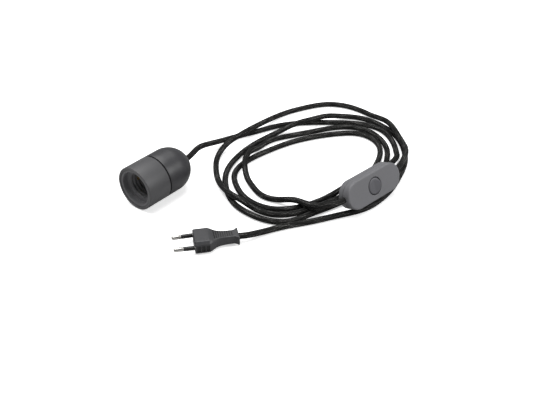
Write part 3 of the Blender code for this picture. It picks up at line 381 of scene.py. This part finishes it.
HOLDER_LENGTH = 0.0658
HOLDER_RADIUS = 0.0218
HOLDER_PLACE = Matrix.Translation((-HOLDER_LENGTH / 2, 0, HOLDER_RADIUS))
SKIRT_END = 0.0262
SKIRT_COLUMNS = 192
SLEEVE_RADIUS = 0.0133
THREAD_START = 0.0075
THREAD_LENGTH = 0.0144
THREAD_PITCH = 0.0036
THREAD_DEPTH = 0.00095
HOLDER_PLASTIC = plastic("holder plastic", (0.067, 0.067, 0.070), 0.50, painted_shading_factor=2.2)


def bulb_thread(radius, place, turn):
    """The moulded thread: the sleeve's wall waves in and out, the wave climbs one pitch a turn, and it
    fades at both ends."""
    past_start = place - THREAD_START
    before_end = THREAD_START + THREAD_LENGTH - place
    fade = np.clip(np.minimum(past_start, before_end) / (THREAD_PITCH / 2), 0, 1)
    wave = 1 + np.cos(2 * math.pi * past_start / THREAD_PITCH - turn)
    on_sleeve = np.abs(radius - SLEEVE_RADIUS) < 0.0001
    return np.where(on_sleeve, radius - THREAD_DEPTH / 2 * fade * wave, radius)


# The skirt's outside, its rim, the step inside the mouth, the threaded sleeve, and the space between the
# two walls.
skirt_profile = [(0.0215, SKIRT_END), (0.02172, 0.02612), (HOLDER_RADIUS, 0.0259), (HOLDER_RADIUS, 0.0012)]
skirt_profile += [(0.02174, 0.0007), (0.02155, 0.00032), (0.02125, 0.00008), (0.0209, 0.0), (0.0199, 0.0)]
skirt_profile += [(0.0197, 0.00008), (0.0196, 0.00025), (0.0196, 0.0007), (0.01952, 0.00085)]
skirt_profile += [(0.0193, 0.0009), (0.0176, 0.0009), (0.0172, 0.00102), (0.0169, 0.0013), (0.0168, 0.0017)]
skirt_profile += [(0.0168, 0.005), (0.0168, 0.0064), (0.0166, 0.0068), (0.0162, 0.0070), (0.0148, 0.0071)]
skirt_profile += [(0.0136, 0.0073), (SLEEVE_RADIUS, 0.0076)]
skirt_profile += [(SLEEVE_RADIUS, THREAD_START + THREAD_LENGTH * step / 96) for step in range(1, 97)]
skirt_profile += [(SLEEVE_RADIUS, 0.0235), (0.0148, 0.0235), (0.0148, 0.0080), (0.0183, 0.0075)]
skirt_profile += [(0.0198, 0.0075), (0.0198, SKIRT_END), (0.0213, SKIRT_END), (0.0215, SKIRT_END)]
skirt = lathe("moulded_skirt", skirt_profile, HOLDER_PLACE, SKIRT_COLUMNS, 30, bulb_thread)
skirt.data.materials.append(HOLDER_PLASTIC)


def painted_light_on_skirt(radius, place):
    """Share of painted light: full inside the mouth, a little on the rim and none outside."""
    if radius < 0.0190:
        return 1.0
    return 0.45 if radius < 0.0214 and place < 0.0009 else 0.0


# Painted light: inside the mouth the colour is 2.2 times the plastic's colour, and on the rim a little less.
dust_and_painted_light = np.repeat([painted_light_on_skirt(*point) for point in skirt_profile], SKIRT_COLUMNS)
skirt.data.attributes.new("painted_shading", "FLOAT", "POINT").data.foreach_set("value", dust_and_painted_light.astype(np.float32))
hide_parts("holder_skirt")
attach(skirt, ROOT)

# Lamp holder cap
# A slightly darker dome of the same plastic that screws on behind the skirt, with a groove at the joint and
# the cord's hole in its pole.
CAP_START = 0.0276
DOME_START = 0.0433
GROOVE_RADIUS = 0.0203
CORD_HOLE_RADIUS = 0.0033
angles = np.linspace(0, math.acos(0.0046 / HOLDER_RADIUS), 40)
rise = (HOLDER_LENGTH - DOME_START) / math.sin(angles[-1])
cap_profile = [(0.0030, 0.0250), (0.0195, 0.0250), (0.0195, 0.0267), (GROOVE_RADIUS, 0.0267)]
cap_profile += [(GROOVE_RADIUS, 0.0275), (0.0204, CAP_START), (0.0215, CAP_START), (0.02172, 0.02768)]
cap_profile += [(HOLDER_RADIUS, 0.0279), (HOLDER_RADIUS, 0.0350)]
cap_profile += [(HOLDER_RADIUS * math.cos(angle), DOME_START + rise * math.sin(angle)) for angle in angles]
cap_profile += [(0.0042, HOLDER_LENGTH), (0.0037, 0.0657), (0.0034, 0.0654)]
cap_profile += [(CORD_HOLE_RADIUS, 0.0650), (CORD_HOLE_RADIUS, 0.0636)]
cap = lathe("domed_cap", cap_profile, HOLDER_PLACE, 160, 30)
cap.data.materials.append(plastic("cap plastic", (0.034, 0.034, 0.037), 0.44))
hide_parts("holder_cap")
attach(cap, ROOT)


# Lamp holder insert
# A pale moulded disc closes the end of the threaded sleeve and carries two sprung brass tongues. It is held
# between the skirt and the cap, and its back carries the two terminal blocks.
def stone(name, colour):
    """Moulded ceramic: fine speckle, slightly uneven gloss and small pits."""
    shader = Shader(name)
    speckle = shader.noise(2600.0, 3.0)
    cloud = shader.noise(60.0, 4.0)
    pits = shader.ramp(shader.noise(900.0, 2.0), 0.60, 0.66)
    tone = shader.mix(cloud, tuple(0.90 * value for value in colour) + (1,), colour + (1,))
    tone = shader.mix(shader.maths("MULTIPLY", speckle, 0.18), tone, (0.42, 0.40, 0.37, 1))
    rough = shader.between(cloud, 0.42, 0.60)
    height = shader.maths("SUBTRACT", speckle, pits)
    return shader.finish(tone, rough, shader.bump(height, 0.00002, 0.7), Specular_IOR_Level=0.4)


def metal(name, colour, rough, stretch=(1, 1, 1), tarnish=(0.3, 0.22, 0.12)):
    """Drawn or stamped metal: fine lines along the working direction, dull film in patches, scratches."""
    shader = Shader(name)
    lines = shader.noise(2400.0, 4.0, 0.6, stretch)
    film = shader.ramp(shader.noise(240.0, 5.0, 0.65), 0.45, 0.75)
    scratches = shader.ramp(shader.noise(1200.0, 6.0, 0.75, (1, 0.08, 1)), 0.64, 0.70)
    tone = shader.mix(shader.maths("MULTIPLY", film, 0.35), colour + (1,), tarnish + (1,))
    gloss = shader.between(lines, rough - 0.06, rough + 0.08)
    gloss = shader.maths("ADD", gloss, shader.maths("MULTIPLY", film, 0.12))
    height = shader.maths("SUBTRACT", shader.maths("MULTIPLY", lines, 0.5), scratches)
    return shader.finish(tone, gloss, shader.bump(height, 0.000008, 0.7), Metallic=1.0)


def dress(skin, *names):
    """Gives nodes of the part their finish and a fine bevel."""
    for name in names:
        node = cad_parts[name]
        node.data.materials.clear()
        node.data.materials.append(skin)
        bevel = node.modifiers.new("fine edge", "BEVEL")
        bevel.width = 0.00008
        bevel.segments = 2
        bevel.limit_method = "ANGLE"
        bevel.angle_limit = math.radians(40)


BRASS = metal("stamped brass", (0.62, 0.43, 0.18), 0.30, (1, 1, 0.1))
STEEL = metal("turned steel", (0.55, 0.55, 0.56), 0.32, (0.1, 1, 1), (0.28, 0.27, 0.25))
# The disc's back, its bevelled edge, a ring for the sleeve, and the well round the middle tongue.
insert_profile = [(0.0, 0.0300), (0.0173, 0.0300), (0.0176, 0.0297), (0.0176, 0.0241), (0.0173, 0.0238)]
insert_profile += [(0.0130, 0.0238), (0.0129, 0.02385), (0.0124, 0.02385), (0.0123, 0.0238), (0.0049, 0.0238)]
insert_profile += [(0.0046, 0.0239), (0.0045, 0.0242), (0.0045, 0.0247), (0.0042, 0.0250), (0.0, 0.0250)]
insert = lathe("ceramic_insert", insert_profile, HOLDER_PLACE, 120, 30)
insert.data.materials.append(stone("insert ceramic", (0.60, 0.57, 0.52)))
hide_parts("holder_insert")
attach(insert, ROOT)
dress(BRASS, "centre_contact", "side_contact", "terminal_live", "terminal_neutral")
dress(STEEL, "terminal_screw_live", "terminal_screw_neutral")
dress(HOLDER_PLASTIC, "cord_grip")
dress(plastic("brown core cover", (0.16, 0.06, 0.03), 0.42), "wire_live")
dress(plastic("blue core cover", (0.05, 0.12, 0.40), 0.42), "wire_neutral")


# Inline switch
# Two moulded half shells with a parting line all round, and a round rocker in the face. Two screws in the
# back hold them together. It stands on its long side.
def stadium(length, width, count=24):
    """Points round an outline with straight sides and round ends, from the right end's lower corner on."""
    radius = width / 2
    straight = (length - width) / 2
    turn = np.pi * (np.arange(count + 1) / count - 0.5)
    side = np.linspace(straight, -straight, 22)[1:-1]
    points = []
    for end in (1, -1):
        bow = np.stack([straight + radius * np.cos(turn), radius * np.sin(turn)], axis=-1)
        edge = np.stack([side, np.full(len(side), radius)], axis=-1)
        points += [end * bow, end * edge]
    return np.concatenate(points)


SWITCH_LENGTH = 0.0722
SWITCH_WIDTH = 0.0276
SWITCH_HALF_THICKNESS = 0.0067
CASE_SCREW_X, CASE_SCREW_Y = 0.0075, -0.0082
SWITCH_PLACE = (
    Matrix.Translation((0.1155, -0.1636, 0.0195))
    @ Matrix.Rotation(math.radians(-7.2), 4, "Z")
    @ Matrix.Rotation(math.radians(68.7), 4, "X")
)


def shell(name, sections, inner, skin, upwards=True):
    """A shell of one half of the switch: outlines of the given inset and height, then rings of the given
    radius and height round the rocker's opening. The back half runs downwards, so its columns are turned
    round."""
    rings = []
    for inset, height in sections:
        ring = stadium(SWITCH_LENGTH - 2 * inset, SWITCH_WIDTH - 2 * inset)
        rings.append(np.concatenate([ring, np.full((len(ring), 1), height)], axis=1))
    for radius, height in inner:
        turn = np.arctan2(rings[0][:, 1], rings[0][:, 0])
        ring = np.stack([radius * np.cos(turn), radius * np.sin(turn), np.full(len(turn), height)], axis=-1)
        rings.append(ring)
    grid = put(np.array(rings), SWITCH_PLACE)
    if not upwards:
        grid = grid[:, ::-1]
    rows, columns = grid.shape[:2]
    made = surface(name, grid, uv_round(np.arange(rows) / rows, columns), sharp=30)
    made.data.materials.append(skin)
    return made


def back_plate(name, side, skin):
    """One half of the flat back: it runs from half of the outline to the recess round its case screw, and
    on down the recess to its floor."""
    edge_inset = 0.0016
    radius, straight = SWITCH_WIDTH / 2 - edge_inset, (SWITCH_LENGTH - SWITCH_WIDTH) / 2
    turn = np.linspace(-math.pi / 2, math.pi / 2, 25)[1:-1]
    run = np.linspace(0, straight, 11)
    drop = np.linspace(radius, -radius, 13)[1:-1]
    x = np.concatenate([run, straight + radius * np.cos(turn), run[::-1], np.zeros(len(drop))])
    y = np.concatenate([np.full(11, -radius), radius * np.sin(turn), np.full(11, radius), drop])
    angle = np.arctan2(y - CASE_SCREW_Y, x - CASE_SCREW_X)
    back = -SWITCH_HALF_THICKNESS
    rings = [np.stack([x, y, np.full(len(x), back)], axis=-1)]
    for reach, height in ((0.00265, back), (0.0025, -0.00655), (0.0025, -0.00605), (0.0016, -0.0060)):
        ring_x = CASE_SCREW_X + reach * np.cos(angle)
        ring_y = CASE_SCREW_Y + reach * np.sin(angle)
        rings.append(np.stack([ring_x, ring_y, np.full(len(x), height)], axis=-1))
    grid = np.array(rings) * (side, 1, 1)
    if side > 0:
        grid = grid[:, ::-1]
    uv = uv_round(np.arange(len(rings)) / len(rings), len(x))
    made = surface(name, put(grid, SWITCH_PLACE), uv, ends=(False, True), sharp=30)
    made.data.materials.append(skin)
    return made


SWITCH_PLASTIC = plastic("switch plastic", (0.142, 0.142, 0.151), 0.46)
upper = shell(
    "switch_face_shell",
    [
        (0.0018, -0.0009), (0.0003, -0.0009), (0.0, -0.0006), (0.0, 0.0054), (0.00006, 0.00585),
        (0.00025, 0.00625), (0.0006, 0.00652), (0.0011, 0.00668), (0.0016, SWITCH_HALF_THICKNESS),
        (0.0036, SWITCH_HALF_THICKNESS),
    ],
    [
        (0.0095, SWITCH_HALF_THICKNESS), (0.0091, SWITCH_HALF_THICKNESS), (0.0089, 0.00664),
        (0.00878, 0.0065), (0.00875, 0.0062), (0.00875, 0.0049),
    ],
    SWITCH_PLASTIC,
)
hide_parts("switch_upper_shell")
lower = shell(
    "switch_back_shell",
    [
        (0.0018, -0.0012), (0.0003, -0.0012), (0.0, -0.0015), (0.0, -0.0054), (0.00006, -0.00585),
        (0.00025, -0.00625), (0.0006, -0.00652), (0.0011, -0.00668), (0.0016, -SWITCH_HALF_THICKNESS),
    ],
    [],
    SWITCH_PLASTIC,
    upwards=False,
)
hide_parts("switch_lower_shell")
plates = [
    back_plate("switch_back_plate_left", -1, SWITCH_PLASTIC),
    back_plate("switch_back_plate_right", 1, SWITCH_PLASTIC),
]
for piece in [upper, lower] + plates:
    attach(piece, ROOT)

# The switch's inner works
# A steel pivot pin, a brass bridge that moves with the rocker, two fixed brass contacts, a link for the
# other core, screws that clamp the cores, and two moulded clamps that hold the cord.
dress(STEEL, "rocker_pin", "clamp_screw_live_in", "clamp_screw_live_out", "clamp_screw_neutral_in")
dress(STEEL, "clamp_screw_neutral_out")
dress(BRASS, "fixed_contact_in", "fixed_contact_out", "neutral_link", "contact_bridge")
dress(SWITCH_PLASTIC, "cord_clamp_in", "cord_clamp_out")


def screw_head(name, centre):
    """A flat screw head seen from below, with a bevelled rim and a cross recess whose walls slope."""
    columns = 72
    arm_reach, arm_half_width, recess_depth, wall_slope = 0.00110, 0.00028, 0.00045, 0.00012
    reach = np.array([0.0022, 0.0022, 0.00215, 0.0020, *np.linspace(0.0019, 0.00004, 24)])
    fall = np.array([-0.0060, -0.00655, -0.00665, *np.full(25, -SWITCH_HALF_THICKNESS)])
    turn = 2 * math.pi * np.arange(columns) / columns
    x = reach[:, None] * np.cos(turn)
    y = reach[:, None] * np.sin(turn)
    arm = np.maximum(np.abs(x) - arm_reach, np.abs(y) - arm_half_width)
    other = np.maximum(np.abs(y) - arm_reach, np.abs(x) - arm_half_width)
    recess = np.clip(-np.minimum(arm, other) / wall_slope, 0, 1) * recess_depth
    grid = np.stack([x + centre[0], y + centre[1], fall[:, None] + recess], axis=-1)[:, ::-1]
    uv = uv_round(np.arange(len(reach)) / len(reach), columns)
    made = surface(name, put(grid, SWITCH_PLACE), uv, ends=(False, True), sharp=35)
    made.data.materials.append(STEEL)
    return made


for side, name in ((-1, "left"), (1, "right")):
    head = screw_head("cross_head_" + name, (side * CASE_SCREW_X, CASE_SCREW_Y))
    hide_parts("case_screw_" + name)
    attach(head, ROOT)

# Rocker
# A round dark plastic button cut from a ball that is centred on its pivot. Its two halves meet in a shallow
# valley, and it rests pressed on the left.
ROCKER_COLUMNS = 128
ROCKER_TILT = math.radians(6.5)
ROCKER_PIVOT_HEIGHT = 0.0033
ROCKER_PLACE = (
    SWITCH_PLACE
    @ Matrix.Translation((0, 0, ROCKER_PIVOT_HEIGHT))
    @ Matrix.Rotation(-ROCKER_TILT, 4, "Y")
)


def rocker_surface(radius=0.0086, valley=0.0038, blend=0.0012, round_valley=0.0005):
    """Rings of a ball from below its middle up to its top. Where the two rising halves lie lower than the
    ball they take its place, with a soft change from one to the other."""
    steps = [np.linspace(107, 62, 16), np.linspace(61, 56, 4), np.linspace(55, 0.3, 44)]
    fall = np.radians(np.concatenate(steps))
    turn = 2 * math.pi * np.arange(ROCKER_COLUMNS) / ROCKER_COLUMNS
    x = radius * np.sin(fall)[:, None] * np.cos(turn)
    y = radius * np.sin(fall)[:, None] * np.sin(turn)
    ball = np.repeat(radius * np.cos(fall)[:, None], ROCKER_COLUMNS, axis=1)
    halves = valley + (np.sqrt(x**2 + round_valley**2) - 0.4 * round_valley) * math.tan(ROCKER_TILT)
    top = 0.5 * (ball + halves - np.sqrt((ball - halves) ** 2 + blend**2))
    height = np.where(fall[:, None] < math.radians(88), top, ball)
    return put(np.stack([x, y, height], axis=-1), ROCKER_PLACE)


rocker_grid = rocker_surface()
rocker_uv = uv_round(np.arange(len(rocker_grid)) / len(rocker_grid), ROCKER_COLUMNS)
rocker = surface("rocker_button", rocker_grid, rocker_uv, ends=(True, True), sharp=35)
rocker.data.materials.append(plastic("rocker plastic", (0.091, 0.091, 0.101), 0.42))
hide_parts("switch_rocker")
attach(rocker, "rocker")


# Plug
# A flat body in soft dark plastic, moulded on the cord: a block with three grip pockets in each side, a
# shoulder, and a thin neck with nine cross grooves that flares at the cord. Two nickel pins with black
# sleeves lean together a little.
PLUG_PLACE = Matrix.Translation((-0.0411, -0.0838, 0)) @ Matrix.Rotation(math.radians(141.2), 4, "Z")
PLUG_AXIS_HEIGHT = 0.0066
RIB_GROOVE_START, RIB_GROOVE_PITCH, RIB_GROOVE_WIDTH, RIB_GROOVE_DEPTH = 0.0178, 0.0020, 0.0008, 0.00045
POCKET_START, POCKET_PITCH, POCKET_WIDTH, POCKET_DEPTH = 0.0031, 0.0041, 0.0032, 0.0007
PIN_OFFSET = 0.0093
PIN_LENGTH = 0.019
# Each row says how far it is from the pins' end, then half the width of the flats, half the width of the
# sides, the height of the upright sides above the axis, and the whole thickness.
PLUG_ROWS = MM * np.array([
    (0.0, 8.9, 11.7, 3.5, 12.4), (0.6, 9.4, 12.3, 3.9, 13.2), (12.9, 9.4, 12.3, 3.9, 13.2),
    (15.0, 8.7, 10.9, 3.8, 12.4), (17.0, 7.6, 9.2, 3.4, 11.4), (19.2, 6.5, 7.6, 3.0, 10.3),
    (22.0, 5.6, 6.4, 2.7, 9.4), (26.0, 5.1, 5.8, 2.5, 8.8), (31.0, 4.9, 5.5, 2.4, 8.4),
    (35.4, 4.9, 5.5, 2.4, 8.4), (36.9, 5.4, 6.2, 2.5, 8.6), (39.2, 7.2, 8.5, 2.7, 9.0),
    (39.8, 7.0, 8.3, 2.6, 8.6),
])


def step_in(value, half, soft):
    """One inside a band of the given half width, nothing outside it, with a soft change."""
    return np.clip((half + soft / 2 - np.abs(value)) / soft, 0, 1)


def plug_surface():
    """Rings along the plug. Each is an outline with a flat top and bottom, upright sides and slanted
    shoulders, with its corners rounded off. The grooves lower the flats, and the pockets push the upright
    sides in."""
    grooves = RIB_GROOVE_START + RIB_GROOVE_PITCH * np.arange(9)
    pockets = POCKET_START + POCKET_PITCH * np.arange(3)
    edges = [0.0, 0.00015, 0.0003, 0.00045, 0.0006, 0.0008]
    edges += [mid + off for mid in grooves for off in (-0.00045, -0.00035, 0.0, 0.00035, 0.00045)]
    edges += [mid + off for mid in pockets for off in (-0.00166, -0.00154, 0.0, 0.00154, 0.00166)]
    places = np.unique(np.round(np.concatenate([edges, np.linspace(0.0134, 0.0398, 90)]), 6))
    fine = np.linspace(-0.002, 0.0432, 905)
    weight = np.exp(-0.5 * (np.arange(-20, 21) * 0.00005 / 0.00035) ** 2)
    sizes = []
    for column in range(1, 5):
        values = np.interp(fine, PLUG_ROWS[:, 0], PLUG_ROWS[:, column])
        soft = np.convolve(np.pad(values, 20, mode="edge"), weight / weight.sum(), mode="valid")
        soft = np.where((fine > 0.0015) & (fine < 0.0391), soft, values)
        sizes.append(np.interp(places, fine, soft))
    flat, side, upright, thick = sizes
    top = thick / 2
    corners = np.stack([
        np.stack([flat, top], -1), np.stack([-flat, top], -1), np.stack([-side, upright], -1),
        np.stack([-side, -upright], -1), np.stack([-flat, -top], -1), np.stack([flat, -top], -1),
        np.stack([side, -upright], -1), np.stack([side, upright], -1),
    ], axis=1)
    groove = sum(step_in(places - mid, RIB_GROOVE_WIDTH / 2, 0.0001) for mid in grooves)
    pocket = sum(step_in(places - mid, POCKET_WIDTH / 2, 0.00012) for mid in pockets)
    corner = 0.0007
    still = np.zeros(len(places))
    ring = []
    painted_shading = []
    for index in range(8):
        here = corners[:, index]
        back = corners[:, index - 1]
        ahead = corners[:, (index + 1) % 8]
        into = here + corner * (back - here) / np.linalg.norm(back - here, axis=1)[:, None]
        out = here + corner * (ahead - here) / np.linalg.norm(ahead - here, axis=1)[:, None]
        for share in np.linspace(0, 1, 7):
            ring.append((1 - share) ** 2 * into + 2 * share * (1 - share) * here + share**2 * out)
            painted_shading.append(still)
        last = ahead + corner * (here - ahead) / np.linalg.norm(here - ahead, axis=1)[:, None]
        span = np.linalg.norm(last - out, axis=1)[:, None]
        direction = (last - out) / span
        insets = (0.00015, 0.00025)
        stops = [np.full_like(span, insets[0]), np.full_like(span, insets[1])]
        stops += [insets[1] + (span - 2 * insets[1]) * part for part in (0.2, 0.4, 0.6, 0.8)]
        stops += [span - insets[1], span - insets[0]]
        for number, stop in enumerate(stops):
            point = out + direction * stop
            inside = 0.0 if number in (0, 7) else 1.0
            if index in (0, 4):
                inwards = -1 if index == 0 else 1
                point = point + np.stack([still, inwards * RIB_GROOVE_DEPTH * groove * inside], axis=-1)
            if index in (2, 6):
                inwards = 1 if index == 2 else -1
                point = point + np.stack([inwards * POCKET_DEPTH * pocket * inside, still], axis=-1)
            ring.append(point)
            # Painted shade: each point's share of groove or pocket, where the material darkens the colour.
            painted_shading.append(inside * {0: groove, 4: groove, 2: pocket, 6: pocket}.get(index, still))
    outline = np.stack(ring, axis=1)
    painted_shading = np.stack(painted_shading, axis=1)
    depth = np.repeat(-places[:, None], outline.shape[1], axis=1)
    grid = np.stack([depth, outline[..., 0], PLUG_AXIS_HEIGHT + outline[..., 1]], axis=-1)
    return put(grid, PLUG_PLACE), uv_round(places, grid.shape[1]), painted_shading


plug_grid, plug_uv, plug_painted_shading = plug_surface()
plug = surface("moulded_plug", plug_grid, plug_uv, ends=(True, True), sharp=32)
painted_groove_shade = plug_painted_shading.astype(np.float32).ravel()
plug.data.attributes.new("painted_shading", "FLOAT", "POINT").data.foreach_set("value", painted_groove_shade)
# Painted shade: the grooves and pockets are painted at 0.12 times the plastic's colour.
plug.data.materials.append(plastic("plug plastic", (0.037, 0.037, 0.040), 0.45, 0.000016, painted_shading_factor=0.12))
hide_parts("plug_body")
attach(plug, ROOT)
NICKEL = metal("nickel plate", (0.56, 0.55, 0.53), 0.24, (0.15, 1, 1), (0.36, 0.34, 0.31))
SLEEVE_PLASTIC = plastic("black sleeve", (0.012, 0.012, 0.012), 0.38)
PIN_RADIUS = 0.0020
PIN_LEAN = 0.0006
pin_profile = [(0.0, PIN_LENGTH), (0.0006, 0.01896), (0.0011, 0.0188), (0.0015, 0.0185), (0.00178, 0.0180)]
pin_profile += [(0.00194, 0.0174), (PIN_RADIUS, 0.0168), (PIN_RADIUS, 0.0107), (0.00195, 0.0106)]
pin_profile += [(0.0014, 0.0106), (0.0014, -0.0055), (0.0, -0.0055)]
sleeve_profile = [(0.00142, 0.0103), (0.00190, 0.0103), (0.00198, 0.01023), (PIN_RADIUS, 0.0101)]
sleeve_profile += [(PIN_RADIUS, 0.0005), (0.00196, 0.0003), (0.0017, 0.0003), (0.0017, 0.0103)]
for side, name in ((1, "left"), (-1, "right")):
    slant = Matrix.Rotation(-side * math.atan(PIN_LEAN / PIN_LENGTH), 4, "Z")
    place = PLUG_PLACE @ Matrix.Translation((0, side * PIN_OFFSET, PLUG_AXIS_HEIGHT)) @ slant
    pin = lathe("nickel_pin_" + name, pin_profile, place, 48, 30)
    sleeve = lathe("black_sleeve_" + name, sleeve_profile, place, 48, 30)
    for piece, skin, node, kind in (
        (pin, NICKEL, "pin_", "pin_nickel"), (sleeve, SLEEVE_PLASTIC, "pin_sleeve_", "sleeve_plastic")
    ):
        piece.data.materials.append(skin)
        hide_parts(node + name)
        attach(piece, ROOT)

# Table and light
# A white table top under a wide soft light, with a smaller soft light at the front right and a dim white
# room. The camera sees the table and the room brighter than they light the object.
floor = surface(
    "table",
    np.array([[(-4, -4, 0), (4, -4, 0)], [(-4, 4, 0), (4, 4, 0)]], dtype=float),
    np.array([[(0, 0), (1, 0)], [(0, 1), (1, 1)]], dtype=float),
    wrap=False,
)
white = Shader("white table")
seen = white.tree.nodes.new("ShaderNodeLightPath").outputs["Is Camera Ray"]
reach = white.tree.nodes.new("ShaderNodeVectorMath")
reach.operation = "LENGTH"
white.link(white.tree.nodes.new("ShaderNodeTexCoord").outputs["Object"], reach.inputs[0])
glow = white.between(white.ramp(reach.outputs["Value"], 0.8, 2.2), 0.50, 1.0)
table_tone = white.mix(seen, (0.50, 0.50, 0.50, 1), (1.0, 1.0, 1.0, 1))
table_gloss = white.between(white.noise(30.0), 0.85, 0.95)
table_grain = white.bump(white.noise(400.0), 0.00001)
glow = white.maths("MULTIPLY", seen, glow)
white.finish(
    table_tone, table_gloss, table_grain, Specular_IOR_Level=0.0, Emission_Color=(1, 1, 1, 1),
    Emission_Strength=glow,
)
floor.data.materials.append(white.made)

world = bpy.data.worlds.new("room")
scene.world = world
world.use_nodes = True
room = world.node_tree.nodes["Background"]
room.inputs["Color"].default_value = (1, 1, 1, 1)
light_path = world.node_tree.nodes.new("ShaderNodeLightPath")
strength = world.node_tree.nodes.new("ShaderNodeMapRange")
strength.inputs["To Min"].default_value = 0.18
world.node_tree.links.new(light_path.outputs["Is Camera Ray"], strength.inputs["Value"])
world.node_tree.links.new(strength.outputs[0], room.inputs["Strength"])
middle = Vector((0.08, -0.08, 0))
for name, place, width, power in (
    ("soft light above", (0.10, 0.30, 1.35), 1.7, 29), ("soft light in front", (0.62, -1.29, 0.81), 0.8, 12)
):
    lamp = bpy.data.objects.new(name, bpy.data.lights.new(name, "AREA"))
    lamp.data.shape = "DISK"
    lamp.data.size = width
    lamp.data.energy = power
    lamp.location = place
    lamp.rotation_euler = (middle - lamp.location).to_track_quat("-Z", "Y").to_euler()
    scene.collection.objects.link(lamp)
scene.view_settings.view_transform = "Standard"
